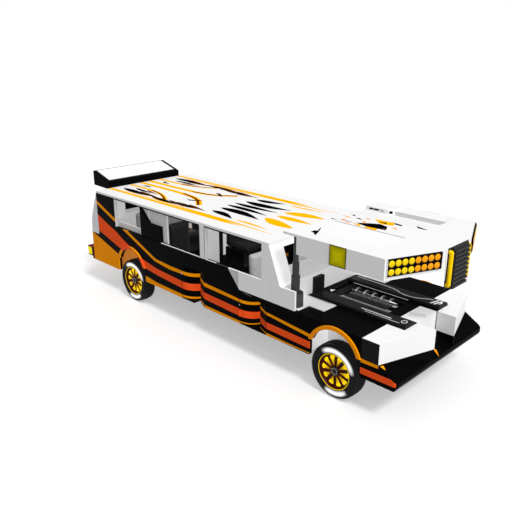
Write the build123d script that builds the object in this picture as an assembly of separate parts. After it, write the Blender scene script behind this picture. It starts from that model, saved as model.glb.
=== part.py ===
# A low, long custom microbus with a raised nose on two telescopic posts over an open front deck.
# Millimetres, +X forward, +Y to the left, +Z up, origin under the middle of the bus on the ground.
import os

from build123d import *

os.makedirs("parts", exist_ok=True)

# Overall lengths along the bus
wing_overhang = 250
rear_overhang = 1210
wheelbase = 4290
front_overhang = 990
overall_length = wing_overhang + rear_overhang + wheelbase + front_overhang
wing_back_x = -overall_length / 2
tail_x = wing_back_x + wing_overhang
rear_axle_x = tail_x + rear_overhang
front_axle_x = rear_axle_x + wheelbase
nose_tip_x = front_axle_x + front_overhang

# Body widths, heights and wall thicknesses
body_width = 2080
half_width = body_width / 2
wall = 60
plate = 30
gap = 6
door_gap = 9
overrun = 20
running_clearance = 0.3
sill_z = 458
floor_z = 520
floor_thickness = 40
deck_height = 512
deck_z = sill_z + deck_height
waist_height = 260
waist_z = deck_z + waist_height
window_height = 503
roof_under_z = waist_z + window_height
roof_thickness = 34
roof_z = roof_under_z + roof_thickness
inner_half_width = half_width - wall

# Stations of the cabin, worked back from the front axle
foot_setback = 903
windscreen_rake = 200
pillar_head = 130
door_to_pillar = 422
door_length = 718
b_pillar_width = 108
rail_lead = 16
rail_slant = 226
cowl_depth = 30
rail_nose = 256
foot_x = front_axle_x - foot_setback
cowl_front_x = foot_x + cowl_depth
roof_front_x = foot_x - windscreen_rake
a_pillar_x = roof_front_x - pillar_head
door_front_x = a_pillar_x - door_to_pillar
door_rear_x = door_front_x - door_length
b_pillar_x = door_rear_x - b_pillar_width
rail_low_x = door_front_x - rail_lead
rail_top_x = rail_low_x - rail_slant
rail_front_x = foot_x + rail_nose

# Wheels and arches
tyre_radius = 362
tyre_width = 215
tyre_round = 34
rim_radius = 240
rim_wall = 12
rim_lip = 14
hub_radius = 52
hub_depth = 60
spoke_count = 10
spoke_depth = 22
spoke_root = 26
spoke_tip = 62
spoke_inset = 34
arch_rise = 200
arch_radius = 370
trim_inner = 362
trim_outer = 412
trim_proud = 20
opening_half = 390
arch_foot_rise = 128
well_half = 430
well_sheet = 20
well_depth = 360
rear_well_roof = 40
arch_z = tyre_radius + arch_rise
arch_foot_z = arch_z + arch_foot_rise
wheel_mid_y = half_width - tyre_width / 2


def box_between(x_range, y_range, z_range):
    """Box between low and high values along each axis."""
    size = [high - low for low, high in (x_range, y_range, z_range)]
    middle = [(high + low) / 2 for low, high in (x_range, y_range, z_range)]
    return Pos(*middle) * Box(*size)


def upright_slab(points, y_low, y_high):
    """Solid from an outline of (x, z) points, between two y values."""
    face = make_face(Polyline([(x, 0, z) for x, z in points], close=True))
    return Pos(0, y_low, 0) * extrude(face, amount=y_high - y_low, dir=(0, 1, 0))


def level_slab(points, z_low, z_high):
    """Solid from an outline of (x, y) points, between two z values."""
    face = make_face(Polyline([(x, y, z_low) for x, y in points], close=True))
    return extrude(face, amount=z_high - z_low, dir=(0, 0, 1))


def disc(x, z, radius, y_low, y_high):
    """Cylinder along y."""
    return Pos(x, (y_low + y_high) / 2, z) * Rot(90, 0, 0) * Cylinder(radius, y_high - y_low)


def post_at(x, y, radius, z_low, z_high):
    """Cylinder along z."""
    return Pos(x, y, (z_low + z_high) / 2) * Cylinder(radius, z_high - z_low)


def to_left(shape):
    return mirror(shape, about=Plane.XZ)


def both_sides(shape):
    """The right-hand solids and their mirror images, kept as separate solids."""
    return Compound(children=list(shape.solids()) + list(to_left(shape).solids()))


def save(name, shape):
    export_step(shape, os.path.join("parts", name + ".step"))


def save_pair(name, shape):
    save(name + "_right", shape)
    save(name + "_left", to_left(shape))


# Ladder frame under the floor, with leaf springs and cross members
rail_y = 430
rail_width = 70
frame_top_z = floor_z - floor_thickness
frame_height = 60
frame_bottom_z = frame_top_z - frame_height
spring_half = 560
spring_leaf = 30
spring_hanger = 50
axle_height = 84
axle_bottom_z = tyre_radius - axle_height / 2
cross_member_width = 90
cross_member_share = (0.04, 0.3, 0.52, 0.72, 0.93)
block_setback = opening_half
block_rear_x = front_axle_x + block_setback
tail_wall = 50
tow_width = 110
tow_thickness = 30
tow_reach = 160
tow_bore = 16
tow_drop = 4
frame_rear_x = tail_x + tail_wall
tow_x = tail_x - tow_reach
tow_top_z = sill_z - tow_drop
frame_front_x = block_rear_x


def chassis_frame():
    rail_in = rail_y - rail_width / 2
    rail_out = rail_y + rail_width / 2
    heights = (frame_bottom_z, frame_top_z)
    frame = box_between((frame_rear_x, frame_front_x), (-rail_out, -rail_in), heights)
    frame += box_between((frame_rear_x, frame_front_x), (rail_in, rail_out), heights)
    run = frame_front_x - frame_rear_x
    for share in cross_member_share:
        middle = frame_rear_x + share * run
        span = (middle - cross_member_width / 2, middle + cross_member_width / 2)
        frame += box_between(span, (-rail_out, rail_out), heights)
    for axle_x in (rear_axle_x, front_axle_x):
        for side in (-1, 1):
            across = sorted((side * rail_in, side * rail_out))
            leaf = (axle_bottom_z - spring_leaf, axle_bottom_z)
            frame += box_between((axle_x - spring_half, axle_x + spring_half), across, leaf)
            for end in (-1, 1):
                hanger_x = axle_x + end * (spring_half - spring_hanger / 2)
                span = (hanger_x - spring_hanger / 2, hanger_x + spring_hanger / 2)
                frame += box_between(span, across, (axle_bottom_z, frame_bottom_z))
    first_member = frame_rear_x + cross_member_share[0] * run + cross_member_width / 2
    tow = (tow_top_z - tow_thickness, tow_top_z)
    frame += box_between((tow_x, first_member), (-tow_width / 2, tow_width / 2), tow)
    frame += post_at(tow_x, 0, tow_width / 2, tow[0], tow[1])
    frame -= post_at(tow_x, 0, tow_bore, tow[0] - overrun, tow[1] + overrun)
    return frame


# Scalloped pods of the lower side walls
pod_top_z = 900
rear_pod_lift = 100
rear_pod_top_z = pod_top_z + rear_pod_lift
pod_depth = 240
pod_wall = 60
pod_foot = 20
# Scallops of the pods. Distances along x, from where each one starts: where its curve ends, where
# its ledge ends, the step up to the next pod and the end of that pod's lead-in
pod_step_in = 74
scallop_a_setback = 557
scallop_a_x = door_rear_x - scallop_a_setback
scallop_a_run = 260
scallop_a_depth = 180
scallop_a_ledge = 277
scallop_a_step = 346
scallop_a_end = 520
scallop_b_run = 238
scallop_b_depth = 168
scallop_b_step = 323
scallop_b_end = 496
scallop_b_x = door_front_x + gap


# Cabin floor with room for the rear wheel wells and the pods
def floor_pan():
    floor = box_between(
        (frame_rear_x, foot_x), (-inner_half_width, inner_half_width), (frame_top_z, floor_z)
    )
    for side in (-1, 1):
        across = sorted((side * (half_width - well_depth - wall), side * half_width))
        span = (rear_axle_x - well_half, rear_axle_x + well_half)
        floor -= box_between(span, across, (frame_top_z - overrun, floor_z + overrun))
        across = sorted((side * (half_width - pod_depth), side * half_width))
        for start, end in ((scallop_a_x, scallop_a_end), (scallop_b_x, scallop_b_end)):
            span = (start, start + end)
            floor -= box_between(span, across, (frame_top_z - overrun, floor_z + overrun))
    return floor


# Hinges of the doors and of the tailgate
pin_radius = 8
barrel_radius = 14
barrel_length = 60
door_hinge_low_z = 610
door_hinge_high_z = 890
door_hinge_z = (door_hinge_low_z, door_hinge_high_z)


# Side walls: tail quarter, window openings, door opening and scalloped pods
tail_lower_z = 983
tail_shoulder_z = 1250
tail_upper_z = 1515
tail_shoulder_in = 30
tail_upper_in = 140
tail_head_in = 240
quarter_length = 790
fin_rise = 255
fin_head = 245
fin_length = 540
fin_start = 730
window_rear_x = tail_x + quarter_length
tail_outline = [
    (tail_x, sill_z),
    (tail_x, tail_lower_z),
    (tail_x + tail_shoulder_in, tail_shoulder_z),
    (tail_x + tail_upper_in, tail_upper_z),
    (tail_x + tail_head_in, roof_under_z),
]


def scallop(start_x, run, step, end, depth, top_z):
    """Cutter for the hollow between two pods: a turn inwards, then a step and a lead-in."""
    outer = -half_width - overrun
    skin = -half_width
    curve = Line((start_x, outer), (start_x, skin))
    curve += TangentArc((start_x, skin), (start_x + run, skin + depth), tangent=(1, 0))
    curve += Line((start_x + run, skin + depth), (start_x + step, skin + depth))
    curve += Line((start_x + step, skin + depth), (start_x + step, skin + pod_step_in))
    curve += Line((start_x + step, skin + pod_step_in), (start_x + end, skin))
    curve += Line((start_x + end, skin), (start_x + end, outer))
    curve += Line((start_x + end, outer), (start_x, outer))
    low = sill_z + pod_foot
    return Pos(0, 0, low) * extrude(make_face(curve), amount=top_z - low, dir=(0, 0, 1))


def ledge_end():
    """Cutter that ends the ledge under the rear scallop."""
    skin = -half_width
    step_x = scallop_a_x + scallop_a_step
    points = [
        (scallop_a_x + scallop_a_ledge, skin - overrun),
        (scallop_a_x + scallop_a_ledge, skin + scallop_a_depth), (step_x, skin + scallop_a_depth),
        (step_x, skin + pod_step_in), (scallop_a_x + scallop_a_end, skin),
        (scallop_a_x + scallop_a_end, skin - overrun),
    ]
    return level_slab(points, sill_z - overrun, sill_z + overrun + pod_foot)


def pod_backing(start_x, end, top_z):
    """Solid box behind a scallop, so that the wall stays closed."""
    span = (start_x, start_x + end)
    across = (-half_width, -half_width + pod_depth)
    return box_between(span, across, (sill_z, top_z + pod_wall))


def arch_cut(axle_x, y_low, y_high):
    opening = disc(axle_x, arch_z, arch_radius, y_low, y_high)
    span = (axle_x - opening_half, axle_x + opening_half)
    opening += box_between(span, (y_low, y_high), (sill_z - overrun, arch_foot_z))
    return opening


def side_wall():
    outline = tail_outline + [
        (roof_front_x - pillar_head, roof_under_z),
        (roof_front_x - pillar_head, roof_under_z - overrun),
        (b_pillar_x + b_pillar_width, roof_under_z - overrun),
        (b_pillar_x + b_pillar_width, sill_z + wall),
        (door_front_x, sill_z + wall),
        (door_front_x, sill_z),
    ]
    panel = upright_slab(outline, -half_width, -inner_half_width)
    panel += pod_backing(scallop_a_x, scallop_a_end, rear_pod_top_z)
    windows = box_between(
        (window_rear_x, b_pillar_x), (-half_width - overrun, -inner_half_width + overrun),
        (waist_z, roof_under_z - overrun),
    )
    fin_x = window_rear_x + fin_start
    fin = upright_slab(
        [
            (fin_x, waist_z - overrun), (fin_x, roof_under_z - overrun),
            (fin_x + fin_head, waist_z + fin_rise), (fin_x + fin_length, waist_z + fin_rise),
            (fin_x + fin_length, waist_z - overrun),
        ],
        -half_width + plate / 2, -inner_half_width,
    )
    panel -= windows
    panel += fin
    panel -= arch_cut(rear_axle_x, -half_width - overrun, -inner_half_width + overrun)
    panel -= scallop(
        scallop_a_x, scallop_a_run, scallop_a_step, scallop_a_end, scallop_a_depth, rear_pod_top_z
    )
    panel -= ledge_end()
    return panel


# Front quarters below the deck, with the front arches and the second scallop
def fender():
    top = deck_z - plate
    outline = [
        (door_front_x + gap, sill_z), (door_front_x + gap, deck_z),
        (rail_front_x, deck_z), (rail_front_x, top), (block_rear_x, top), (block_rear_x, sill_z),
    ]
    panel = upright_slab(outline, -half_width, -inner_half_width)
    panel += pod_backing(scallop_b_x, scallop_b_end, pod_top_z)
    panel -= scallop(
        scallop_b_x, scallop_b_run, scallop_b_step, scallop_b_end, scallop_b_depth, pod_top_z
    )
    panel -= arch_cut(front_axle_x, -half_width - overrun, -inner_half_width + overrun)
    for room in door_hinges(barrel_radius + gap, barrel_length + gap):
        panel -= room
    for pin in door_hinges(pin_radius, barrel_length + 2 * overrun):
        panel += pin
    return panel


def side_rails():
    outline = [
        (rail_low_x + door_gap, deck_z), (rail_top_x + door_gap, waist_z),
        (rail_front_x, waist_z), (rail_front_x, deck_z),
    ]
    return both_sides(upright_slab(outline, -half_width, -half_width + plate))


# Front half doors, below the waist, hinged at their front edge
def door_hinges(radius, length):
    """Upright cylinders on the hinge line of the right-hand door."""
    hinges = []
    for z in door_hinge_z:
        hinges.append(post_at(door_front_x, -half_width, radius, z - length / 2, z + length / 2))
    return hinges


def door():
    outline = [
        (door_rear_x + door_gap, sill_z + wall + gap), (door_rear_x + door_gap, waist_z),
        (rail_top_x, waist_z), (rail_low_x, deck_z),
        (door_front_x, deck_z), (door_front_x, sill_z + wall + gap),
    ]
    panel = upright_slab(outline, -half_width, -inner_half_width)
    for barrel in door_hinges(barrel_radius, barrel_length):
        panel += barrel
    for bore in door_hinges(pin_radius + running_clearance, barrel_length + 2 * overrun):
        panel -= bore
    return panel


# Roof and tail
def roof_panel():
    span = (tail_x + tail_head_in, roof_front_x)
    roof = box_between(span, (-half_width, half_width), (roof_under_z, roof_z))
    return roof


gate_post = 200
gate_hinge_inset = 180
gate_half = inner_half_width - gate_post
gate_hinge_y = gate_half - gate_hinge_inset
gate_bottom_z = 560
gate_hinge_z = gate_bottom_z + gap + barrel_radius
rear_window_post = 160
rear_window_half = inner_half_width - rear_window_post
rear_window_sill = 60
rear_window_head = 90
tail_lamp_radius = 42
tail_lamp_proud = 24
tail_lamp_depth = 30
tail_lamp_inset = 135
tail_lamp_y = half_width - tail_lamp_inset
tail_lamp_pitch = 104
tail_lamp_count = 3
tail_lamp_low_z = 1010


def tail_strip(y_low, y_high):
    outer = tail_outline
    inner = [(x + tail_wall, z) for x, z in reversed(outer)]
    return upright_slab(outer + inner, y_low, y_high)


def tail_lamp_cylinders(radius):
    lamps = []
    for side in (-1, 1):
        for number in range(tail_lamp_count):
            z = tail_lamp_low_z + number * tail_lamp_pitch
            back = tail_x - tail_lamp_proud + number * tail_lamp_proud / tail_lamp_count
            front = tail_x + tail_lamp_depth
            turn = Pos((back + front) / 2, side * tail_lamp_y, z) * Rot(0, 90, 0)
            lamps.append(turn * Cylinder(radius, front - back))
    return lamps


def tail_frame():
    tail = tail_strip(-inner_half_width, inner_half_width)
    reach = (tail_x - overrun, tail_x + tail_head_in + tail_wall + overrun)
    tail -= box_between(reach, (-gate_half, gate_half), (gate_bottom_z, tail_lower_z))
    sill = tail_lower_z + rear_window_sill
    head = roof_under_z - rear_window_head
    tail -= box_between(reach, (-rear_window_half, rear_window_half), (sill, head))
    for lamp in tail_lamp_cylinders(tail_lamp_radius + running_clearance):
        tail -= lamp
    return tail + disc(tail_x, gate_hinge_z, pin_radius, -gate_half - overrun, gate_half + overrun)


def tailgate():
    across = (-gate_half + gap, gate_half - gap)
    gate = box_between(
        (tail_x, tail_x + tail_wall), across, (gate_bottom_z + gap, tail_lower_z - door_gap)
    )
    for middle_y in (-gate_hinge_y, 0, gate_hinge_y):
        gate += disc(
            tail_x, gate_hinge_z, barrel_radius, middle_y - barrel_length, middle_y + barrel_length
        )
    bore = disc(tail_x, gate_hinge_z, pin_radius + running_clearance, -gate_half, gate_half)
    return gate - bore


# Rear bumper with two corner lamp pods
pod_lamp_depth = 155
pod_lamp_width = 160
pod_lamp_low_z = 498
pod_lamp_high_z = 675
bumper_depth = 54
bumper_top_z = 548


def rear_bumper():
    span = (tail_x - bumper_depth, tail_x)
    bar = box_between(span, (-half_width, half_width), (sill_z, bumper_top_z))
    for side in (-1, 1):
        across = sorted((side * half_width, side * (half_width - pod_lamp_width)))
        bar += box_between(span, across, (sill_z, pod_lamp_high_z))
    return bar


def rear_lamps():
    lamps = tail_lamp_cylinders(tail_lamp_radius)
    back = tail_x - bumper_depth - pod_lamp_depth
    for side in (-1, 1):
        across = sorted((side * half_width, side * (half_width - pod_lamp_width)))
        span = (back, tail_x - bumper_depth)
        lamps.append(box_between(span, across, (pod_lamp_low_z, pod_lamp_high_z)))
    return Compound(children=[solid for lamp in lamps for solid in lamp.solids()])


# Wing: its tall front face stands against the rear edge of the roof
wing_half = 775
wing_seat = 22
wing_face_height = 107
wing_rise = 136
wing_lip = 36
wing_foot = 66
wing_tail_lift = 12
end_plate = 30
wing_front_x = tail_x + tail_head_in
wing_low_z = roof_z - wing_seat
wing_face_top_z = roof_z + wing_face_height
wing_top_z = wing_face_top_z + wing_rise


def wing():
    blade = upright_slab(
        [
            (wing_front_x, wing_low_z), (wing_front_x, wing_face_top_z),
            (wing_back_x, wing_top_z), (wing_back_x, wing_top_z - wing_lip),
            (wing_front_x - wing_foot, wing_low_z),
        ],
        -wing_half, wing_half,
    )
    for side in (-1, 1):
        across = sorted((side * wing_half, side * (wing_half - end_plate)))
        blade += upright_slab(
            [
                (wing_front_x, wing_low_z), (wing_front_x, wing_face_top_z),
                (wing_back_x, wing_top_z), (wing_back_x, wing_low_z + wing_tail_lift),
            ],
            across[0], across[1],
        )
    return blade


# Windscreen frame: side triangles, broad raked pillars, header and cowl
screen_band = 250
header_height = 60


def windscreen_frame():
    head_x = roof_front_x
    side = upright_slab(
        [
            (a_pillar_x, deck_z), (a_pillar_x, roof_under_z), (head_x, roof_under_z),
            (foot_x, waist_z), (foot_x, deck_z),
        ],
        -half_width + plate, -inner_half_width,
    )
    side += upright_slab(
        [
            (a_pillar_x, waist_z), (a_pillar_x, roof_under_z), (head_x, roof_under_z),
            (foot_x, waist_z),
        ],
        -half_width, -half_width + plate,
    )
    side += upright_slab(
        [
            (head_x - wall, roof_under_z), (head_x, roof_under_z), (foot_x, waist_z),
            (foot_x, floor_z), (foot_x - wall, floor_z), (foot_x - wall, waist_z),
        ],
        -inner_half_width, -half_width + screen_band,
    )
    frame = side + to_left(side)
    header_x = head_x + header_height * windscreen_rake / window_height
    frame += upright_slab(
        [
            (head_x - wall, roof_under_z), (head_x, roof_under_z),
            (header_x, roof_under_z - header_height), (header_x - wall, roof_under_z - header_height),
        ],
        -half_width + screen_band, half_width - screen_band,
    )
    inner = half_width - plate
    frame += box_between((foot_x, cowl_front_x), (-inner, inner), (deck_z, waist_z))
    low = (frame_top_z, deck_z)
    frame += box_between((foot_x, cowl_front_x), (-inner_half_width, inner_half_width), low)
    return frame


# Front deck, its white plates, the white front blocks and the bumper
deck_plate_thickness = 8
deck_plate_length = 492
deck_plate_width = 257
deck_plate_foot = 247
deck_plate_edge = 15
block_low_z = 710
block_step = 240
block_nose = 253
block_rear_width = 515
block_notch_y = 240
centre_block_half = 230
bay_half = 280
bay_rear = 130
bay_front = 170
block_step_x = block_rear_x + block_step
block_nose_x = block_step_x + block_nose
bumper_lip_z = 559
bumper_front_z = 516
bumper_tuck = 32
bumper_corner = 60
bumper_front_x = block_nose_x + gap


def front_deck():
    heights = (deck_z - plate, deck_z)
    inner = inner_half_width
    deck = box_between((cowl_front_x, rail_front_x), (-inner, inner), heights)
    deck += box_between((rail_front_x, block_rear_x), (-half_width, half_width), heights)
    notch = half_width - block_rear_width
    deck += box_between((block_rear_x, block_step_x), (-notch + gap, notch - gap), heights)
    span = (block_rear_x - gap, block_step_x + overrun)
    half = centre_block_half + gap
    deck -= box_between(span, (-half, half), (deck_z - plate - overrun, deck_z + overrun))
    bay = (cowl_front_x + bay_rear, block_rear_x - bay_front)
    deck -= box_between(bay, (-bay_half, bay_half), (deck_z - plate - overrun, deck_z + overrun))
    hole = sleeve_low_radius + tower_wall + 2 * running_clearance
    for side in (-1, 1):
        deck -= post_at(post_x, side * post_y, hole, deck_z - plate - overrun, deck_z + overrun)
    return deck


post_setback = 761
post_edge = 140
post_x = front_axle_x - post_setback
post_y = half_width - post_edge
bellows_radius = 106
tower_wall = 12
lift_stages = 3
nose_lift = 718
stage_travel = nose_lift / lift_stages
sleeve_low_radius = 57
sleeve_mid_radius = 44.5
sleeve_wall = sleeve_low_radius - sleeve_mid_radius - running_clearance
bellows_height = 186
tower_low_z = 560
bellows_top_z = deck_z + bellows_height
bellows_ribs = 6


def deck_plates():
    back = cowl_front_x + gap
    low = -half_width + plate + deck_plate_edge
    high = -rail_bar_out - overrun
    heights = (deck_z, deck_z + deck_plate_thickness)
    base = box_between((back, back + deck_plate_foot), (low, high), heights)
    base += box_between((back, back + deck_plate_length), (high - deck_plate_width, high), heights)
    hole = post_at(
        post_x, -post_y, bellows_radius + running_clearance, deck_z, deck_z + deck_plate_thickness
    )
    return both_sides(base - hole)


def front_blocks():
    skin = -half_width
    corner = level_slab(
        [
            (block_rear_x, skin), (block_rear_x, skin + block_rear_width),
            (block_step_x, skin + block_rear_width), (block_step_x, -block_notch_y),
            (block_nose_x, -block_notch_y), (block_step_x, skin),
        ],
        block_low_z, deck_z,
    )
    centre = box_between(
        (block_rear_x, block_step_x - gap), (-centre_block_half, centre_block_half),
        (block_low_z, deck_z),
    )
    pieces = list(corner.solids()) + list(to_left(corner).solids()) + list(centre.solids())
    return Compound(children=pieces)


def bumper():
    profile = [
        (block_rear_x, sill_z), (block_rear_x, block_low_z), (block_step_x, block_low_z),
        (bumper_front_x - gap, bumper_lip_z), (bumper_front_x, bumper_front_z),
        (bumper_front_x - bumper_tuck, sill_z),
    ]
    body = upright_slab(profile, -half_width, half_width)
    body += level_slab(
        [
            (block_rear_x, -half_width), (block_step_x, -half_width),
            (block_nose_x, -block_notch_y), (block_step_x, -block_notch_y),
            (block_step_x, block_notch_y), (block_nose_x, block_notch_y),
            (block_step_x, half_width), (block_rear_x, half_width),
        ],
        bumper_lip_z, block_low_z,
    )
    plan = box_between(
        (block_rear_x, bumper_front_x), (-half_width, half_width), (sill_z, block_low_z)
    )
    corners = plan.edges().filter_by(Axis.Z).group_by(Axis.X)[-1]
    return body & fillet(corners, bumper_corner)


# Engine: one plain block, with bevelled bay rails and a rear tower beside the cowl
engine_length = 900
engine_half = 250
engine_top_z = 900
engine_lead = 200
gearbox_length = 330
gearbox_half = 140
gearbox_drop = 90
rail_bar_in = 290
rail_bar_out = 510
rail_bar_height = 40
rail_bar_bevel = 16
rail_bar_lead = 66
tower_in = 240
tower_out = 425
tower_height = 235


def engine_block():
    back = cowl_front_x + engine_lead
    block = box_between(
        (back, back + engine_length), (-engine_half, engine_half), (frame_top_z, engine_top_z)
    )
    return block


def engine_trim():
    heights = (deck_z, deck_z + rail_bar_height)
    bar = box_between(
        (cowl_front_x + rail_bar_lead, block_step_x - gap), (-rail_bar_out, -rail_bar_in), heights
    )
    edges = bar.edges().filter_by(Axis.X).group_by(Axis.Z)[-1]
    bar = chamfer(edges, rail_bar_bevel)
    tower = box_between(
        (cowl_front_x + gap, cowl_front_x + rail_bar_lead - gap),
        (-tower_out, -tower_in), (deck_z, deck_z + tower_height),
    )
    pieces = list(bar.solids()) + list(to_left(bar).solids()) + list(tower.solids())
    return Compound(children=pieces)


# Wheel wells inside the four arches
def wheel_wells():
    wells = []
    rear_top = arch_z + arch_radius + rear_well_roof
    # Columns: axle, roof of the well, front end of its box, front end of its hollow
    places = (
        (rear_axle_x, rear_top, rear_axle_x + well_half, rear_axle_x + well_half - well_sheet),
        (front_axle_x, deck_z - plate, block_rear_x, block_rear_x + overrun),
    )
    for axle_x, top, box_front, hollow_front in places:
        outer = box_between(
            (axle_x - well_half, box_front),
            (-inner_half_width, -half_width + well_depth + wall),
            (frame_top_z, top),
        )
        hollow = box_between(
            (axle_x - well_half + well_sheet, hollow_front),
            (-half_width, -half_width + well_depth + wall - well_sheet),
            (frame_top_z - overrun, top - well_sheet),
        )
        wells.append(outer - hollow)
    solids = [solid for well in wells for solid in well.solids()]
    left = [solid for well in wells for solid in to_left(well).solids()]
    return Compound(children=solids + left)


def arch_trims():
    trims = []
    for axle_x in (rear_axle_x, front_axle_x):
        ring = disc(axle_x, arch_z, trim_outer, -half_width - trim_proud, -half_width)
        ring -= disc(axle_x, arch_z, trim_inner, -half_width - 2 * trim_proud, -half_width + trim_proud)
        ring -= box_between(
            (axle_x - 2 * trim_outer, axle_x + 2 * trim_outer),
            (-half_width - 2 * trim_proud, -half_width + trim_proud),
            (arch_z - 2 * trim_outer, arch_foot_z),
        )
        trims.extend(ring.solids())
    left = [solid for ring in trims for solid in to_left(ring).solids()]
    return Compound(children=trims + left)


# Axles, kingpins and knuckles
kingpin_setback = 150
kingpin_y = half_width - kingpin_setback
kingpin_radius = 18
eye_radius = 45
beam_width = 80
lug_height = 28
lug_gap = 2
web_gap = 3
web_depth = 18
stub_radius = 28
hub_inset = 70
hub_face_y = half_width - hub_inset
axle_tube_radius = 42
diff_radius = 110
diff_half = 110
shaft_radius = 36
axle_top_z = axle_bottom_z + axle_height


def front_axle():
    beam = box_between(
        (front_axle_x - beam_width / 2, front_axle_x + beam_width / 2),
        (-kingpin_y, kingpin_y), (axle_bottom_z, axle_top_z),
    )
    for side in (-1, 1):
        beam += post_at(front_axle_x, side * kingpin_y, eye_radius, axle_bottom_z, axle_top_z)
    for side in (-1, 1):
        beam -= post_at(
            front_axle_x, side * kingpin_y, kingpin_radius + running_clearance,
            axle_bottom_z - overrun, axle_top_z + overrun,
        )
    return beam


def knuckle():
    low = axle_bottom_z - lug_gap - lug_height
    high = axle_top_z + lug_gap + lug_height
    half = beam_width / 2
    web_in = kingpin_y + eye_radius + web_gap
    web_out = web_in + web_depth
    piece = post_at(front_axle_x, -kingpin_y, kingpin_radius, low, high)
    for z_low, z_high in ((low, low + lug_height), (high - lug_height, high)):
        piece += post_at(front_axle_x, -kingpin_y, half, z_low, z_high)
        piece += box_between(
            (front_axle_x - half, front_axle_x + half), (-web_out, -kingpin_y), (z_low, z_high)
        )
    piece += box_between(
        (front_axle_x - half, front_axle_x + half), (-web_out, -web_in), (low, high)
    )
    stub_out = hub_face_y + hub_depth - overrun
    piece += disc(front_axle_x, tyre_radius, stub_radius, -stub_out, -web_out)
    return piece


def rear_axle():
    tube_end = hub_face_y + hub_depth - overrun
    axle = disc(rear_axle_x, tyre_radius, axle_tube_radius, -kingpin_y, kingpin_y)
    axle += disc(rear_axle_x, tyre_radius, stub_radius, -tube_end, tube_end)
    axle += disc(rear_axle_x, tyre_radius, diff_radius, -diff_half, diff_half)
    engine_back = cowl_front_x + engine_lead
    shaft_front = engine_back - gearbox_length
    shaft_z = frame_bottom_z - shaft_radius - overrun
    length = shaft_front - rear_axle_x
    middle = rear_axle_x + length / 2
    axle += Pos(middle, 0, shaft_z) * Rot(0, 90, 0) * Cylinder(shaft_radius, length)
    axle += box_between(
        (shaft_front, engine_back), (-gearbox_half, gearbox_half),
        (frame_bottom_z - gearbox_drop, frame_bottom_z),
    )
    return axle


# Wheels
def tyre(axle_x):
    ring = Cylinder(tyre_radius, tyre_width)
    outer = ring.edges().filter_by(GeomType.CIRCLE)
    ring = fillet(outer, tyre_round)
    ring -= Cylinder(rim_radius, tyre_width + overrun)
    return Pos(axle_x, -wheel_mid_y, tyre_radius) * Rot(90, 0, 0) * ring


def rim(axle_x):
    face_y = -half_width + spoke_inset
    back_y = -half_width + tyre_width - rim_lip
    z = tyre_radius
    wheel = disc(axle_x, z, rim_radius, -half_width + rim_lip, back_y)
    inner = rim_radius - rim_wall
    wheel -= disc(axle_x, z, inner, -half_width - overrun, back_y + overrun)
    for number in range(spoke_count):
        reach = inner + rim_wall / 2
        spoke = upright_slab(
            [(0, -spoke_root / 2), (reach, -spoke_tip / 2), (reach, spoke_tip / 2), (0, spoke_root / 2)],
            face_y, face_y + spoke_depth,
        )
        turn = Rot(0, 360 * number / spoke_count, 0)
        wheel += Pos(axle_x, 0, z) * turn * spoke
    hub_back = kingpin_y + eye_radius + web_gap + web_depth + gap
    wheel += disc(axle_x, z, hub_radius, face_y - rim_wall, -hub_back)
    bore_end = hub_face_y + hub_depth - overrun + running_clearance
    wheel -= disc(axle_x, z, stub_radius + running_clearance, -bore_end, back_y)
    return wheel


# Lift posts: ribbed base towers, two sleeves and the rods under the nose
sleeve_low_length = 380
sleeve_mid_length = 330
sleeve_overlap = 60
sleeve_mid_show = 181
nose_bottom_z = 1734
nose_height = 251
nose_sheet = 30
nose_top_z = nose_bottom_z + nose_height
nose_ceiling_z = nose_top_z - nose_sheet
sleeve_low_top = bellows_top_z + stage_travel - gap
sleeve_mid_top = sleeve_low_top + sleeve_mid_show


def post_bases():
    bore = sleeve_low_radius + running_clearance
    tower = post_at(post_x, -post_y, bore + tower_wall, tower_low_z, bellows_top_z)
    rib = bellows_height / bellows_ribs
    for number in range(bellows_ribs):
        low = deck_z + number * rib
        shrink = overrun * number / bellows_ribs
        tower += post_at(post_x, -post_y, bellows_radius - shrink, low, low + rib / 2)
        tower += post_at(post_x, -post_y, bellows_radius - shrink - gap, low + rib / 2, low + rib)
    tower -= post_at(post_x, -post_y, bore, tower_low_z - overrun, bellows_top_z + overrun)
    return both_sides(tower)


def lift_sleeve(radius, top_z, length):
    tube = post_at(post_x, -post_y, radius, top_z - length, top_z)
    bore = radius - sleeve_wall
    tube -= post_at(post_x, -post_y, bore, top_z - length - overrun, top_z + overrun)
    return both_sides(tube)


def lift_rods():
    bore = sleeve_mid_radius - sleeve_wall
    low = sleeve_mid_top - sleeve_overlap
    return both_sides(post_at(post_x, -post_y, bore - running_clearance, low, nose_ceiling_z))


# The liftable nose
nose_front_y = 330
nose_side_x = rail_front_x + gap
nose_rear_x = cowl_front_x + 2 * gap
nose_corner_lead = 617
nose_point = 298
nose_corner_x = front_axle_x + nose_corner_lead
nose_face_x = nose_corner_x + nose_point
channel_outer = 735
channel_inner = 235
channel_depth = 60
channel_lift = 8
channel_setback = 242
hump_lead = 14
hump_length = 457
hump_in = 680
hump_out = 950
hump_height = 22
hump_round = 110
hump_edge = 12
pocket_margin = 40
channel_front_x = nose_corner_x - channel_setback


def nose_outline(inset):
    return [
        (nose_rear_x + inset, -half_width + inset), (nose_corner_x - inset, -half_width + inset),
        (nose_face_x - inset, -nose_front_y), (nose_face_x - inset, nose_front_y),
        (nose_corner_x - inset, half_width - inset), (nose_rear_x + inset, half_width - inset),
    ]


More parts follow.
